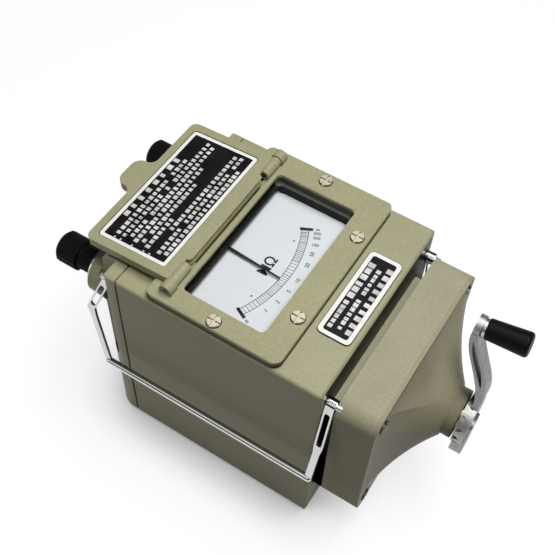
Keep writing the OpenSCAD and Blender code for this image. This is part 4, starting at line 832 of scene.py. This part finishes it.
def screw_places(name):
    low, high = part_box(name)
    middle = (low + high) / 2
    groups = {}
    for vertex in cad[name].data.vertices:
        corner = vertex.co.x > middle.x, vertex.co.y > middle.y
        groups.setdefault(corner, []).append(vertex.co)
    for points in groups.values():
        lows = [min(p[i] for p in points) for i in (0, 1)]
        highs = [max(p[i] for p in points) for i in (0, 1)]
        yield (lows[0] + highs[0]) / 2, (lows[1] + highs[1]) / 2, (highs[0] - lows[0]) / 2


def circle(x, y, radius):
    turns = [2 * math.pi * i / RING_STEPS for i in range(RING_STEPS)]
    return [(x + radius * math.cos(t), y + radius * math.sin(t)) for t in turns]


rings = [band_mesh(circle(x, y, radius + RING_WIDE), circle(x, y, radius + RING_GAP), True)
         for x, y, radius in screw_places("bezel_screws")]
on_bezel = Matrix.Translation((0, 0, bezel_top))
lay_down("screw_rings", rings, on_bezel, "case", seat_shadow)

# %% [markdown]
# ## The floor
# The object stands on a plain pale floor. It looks white to the camera and in reflections,
# and is duller for the light that bounces from it, so that the sides of the case keep
# their shade. Away from the object it fades to plain white, so that no horizon shows, and
# close to the object an occlusion node darkens the floor's colour, a painted contact shadow.

# %% The floor
FLOOR_HALF = 6.0
FADE_BEGIN, FADE_END = 0.25, 1.1
CONTACT_REACH, CONTACT_SHADE = 0.03, 0.3
FLOOR_LEVELS = (("Base Color", 0.28, 0.0), ("Emission Color", 0.81, 1.0))
BOUNCE = (0.135, 0.10, 0.075, 1)


def floor_finish():
    mat, tree, shader = start_material("pale_floor")
    spot = add(tree, "ShaderNodeVectorMath", {"operation": "LENGTH"})
    feed(tree, spot.inputs[0], object_place(tree))
    far = remap(tree, spot.outputs["Value"], FADE_BEGIN, FADE_END, 0.0, 1.0)
    # Painted contact shadow: occlusion darkens the floor's colours near the object.
    contact = add(tree, "ShaderNodeAmbientOcclusion", {"samples": 8}, Distance=CONTACT_REACH)
    contact_shadow = remap(tree, contact.outputs["AO"], 0.3, 0.95, CONTACT_SHADE, 1.0)
    for label, near, away in FLOOR_LEVELS:
        pale = blend_colour(tree, far, (near, near, near, 1), (away, away, away, 1))
        feed(tree, shader.inputs[label], scaled(tree, pale, contact_shadow))
    shader.inputs["Roughness"].default_value = 0.9
    shader.inputs["Specular IOR Level"].default_value = 0.0
    shader.inputs["Emission Strength"].default_value = 1.0
    dull = add(tree, "ShaderNodeBsdfDiffuse", Color=BOUNCE)
    ray = tree.nodes.new("ShaderNodeLightPath").outputs
    seen = math_node(tree, "MAXIMUM", ray["Is Camera Ray"], ray["Is Glossy Ray"])
    seen = math_node(tree, "MAXIMUM", seen, ray["Is Transmission Ray"])
    choose_shader(tree, seen, dull.outputs[0], shader.outputs[0])
    return mat


corners = [(x * FLOOR_HALF, y * FLOOR_HALF, 0) for x, y in ((-1, -1), (1, -1), (1, 1), (-1, 1))]
floor_mesh = bpy.data.meshes.new("floor")
floor_mesh.from_pydata(corners, [], [(0, 1, 2, 3)])
floor_mesh.materials.append(floor_finish())
floor = new_object("floor", floor_mesh)
print("floor laid")

# %% [markdown]
# ## Lamps and the room
# One large soft lamp hangs overhead, and a weak one stands low at the front left, so that
# the shaded sides keep some form. One lamp alone would leave them flat. In reflections the
# room is dark low down and bright above, which draws the black and white bands that make
# chrome look like chrome. To the camera the room is plain white.

# %% The lamps and the world
ROOM_DARK, ROOM_BRIGHT, ROOM_FILL, ROOM_TILT = 0.04, 0.95, 0.028, 0.6
BRIGHT_BEGIN, BRIGHT_END = 1.0, 1.1


def soft_lamp(name, place_at, aim, size, power):
    lamp = bpy.data.lights.new(name, "AREA")
    lamp.shape = "RECTANGLE"
    lamp.size, lamp.size_y = size
    lamp.energy = power
    made = new_object(name, lamp)
    made.location = place_at
    made.rotation_euler = (Vector(aim) - Vector(place_at)).to_track_quat("-Z", "Y").to_euler()


soft_lamp("key_lamp", place_at=(0.15, 0.08, 0.95), aim=(0.0, 0.0, 0.1), size=(0.7, 0.35), power=8.2)
soft_lamp("side_lamp", place_at=(-0.40, -0.40, 0.28), aim=(-0.04, 0.0, 0.06), size=(0.3, 0.3),
          power=0.32)

world = bpy.data.worlds.new("studio")
bpy.context.scene.world = world
world.use_nodes = True
sky = world.node_tree
background = sky.nodes["Background"]
ray = sky.nodes.new("ShaderNodeLightPath").outputs
generated = sky.nodes.new("ShaderNodeTexCoord").outputs["Generated"]
toward = add(sky, "ShaderNodeSeparateXYZ", Vector=generated).outputs
tilt = math_node(sky, "MULTIPLY", toward["Y"], ROOM_TILT)
above = math_node(sky, "SUBTRACT", toward["Z"], tilt)
studio = remap(sky, above, BRIGHT_BEGIN, BRIGHT_END, ROOM_DARK, ROOM_BRIGHT)
shine = math_node(sky, "MULTIPLY", ray["Is Glossy Ray"], studio)
other_rays = math_node(sky, "SUBTRACT", 1.0, ray["Is Glossy Ray"])
dim = math_node(sky, "MULTIPLY", other_rays, ROOM_FILL)
seen = math_node(sky, "MAXIMUM", ray["Is Camera Ray"], ray["Is Transmission Ray"])
level = math_node(sky, "MAXIMUM", seen, math_node(sky, "ADD", shine, dim))
feed(sky, background.inputs["Strength"], level)
background.inputs["Color"].default_value = (1, 1, 1, 1)
bpy.context.scene.view_settings.view_transform = "Standard"
print("light set")

# %% [markdown]
# ## The camera
# One perspective camera was fitted to the corners of the case, the bezel and the plates
# in the photograph. Its place, its angles and its lens are written here as numbers.

# %% The camera
CAMERA_AT = Vector((140.64, -251.98, 528.5)) * mm
AZIMUTH, ELEVATION, ROLL = 29.31, 54.73, 3.32
LENS, SENSOR = 60.93, 36.0


def make_camera(place_at, azimuth, elevation, roll, lens):
    a, e, r = (math.radians(v) for v in (azimuth, elevation, roll))
    right = Vector((math.cos(a), math.sin(a), 0))
    back = Vector((math.sin(a) * math.cos(e), -math.cos(a) * math.cos(e), math.sin(e)))
    upward = back.cross(right)
    rolled = (right * math.cos(r) + upward * math.sin(r),
              upward * math.cos(r) - right * math.sin(r), back)
    data = bpy.data.cameras.new("photo_camera")
    data.sensor_fit = "HORIZONTAL"
    data.sensor_width = SENSOR
    data.lens = lens
    made = new_object("photo_camera", data)
    made.matrix_world = Matrix.Translation(place_at) @ Matrix(rolled).transposed().to_4x4()
    return made


case_low, case_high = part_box("main_case")
case_middle = Vector(((case_low.x + case_high.x) / 2, 0, 0))
camera = make_camera(case_middle + CAMERA_AT, AZIMUTH, ELEVATION, ROLL, LENS)
bpy.context.scene.camera = camera
print("camera at", [round(c, 3) for c in camera.location])
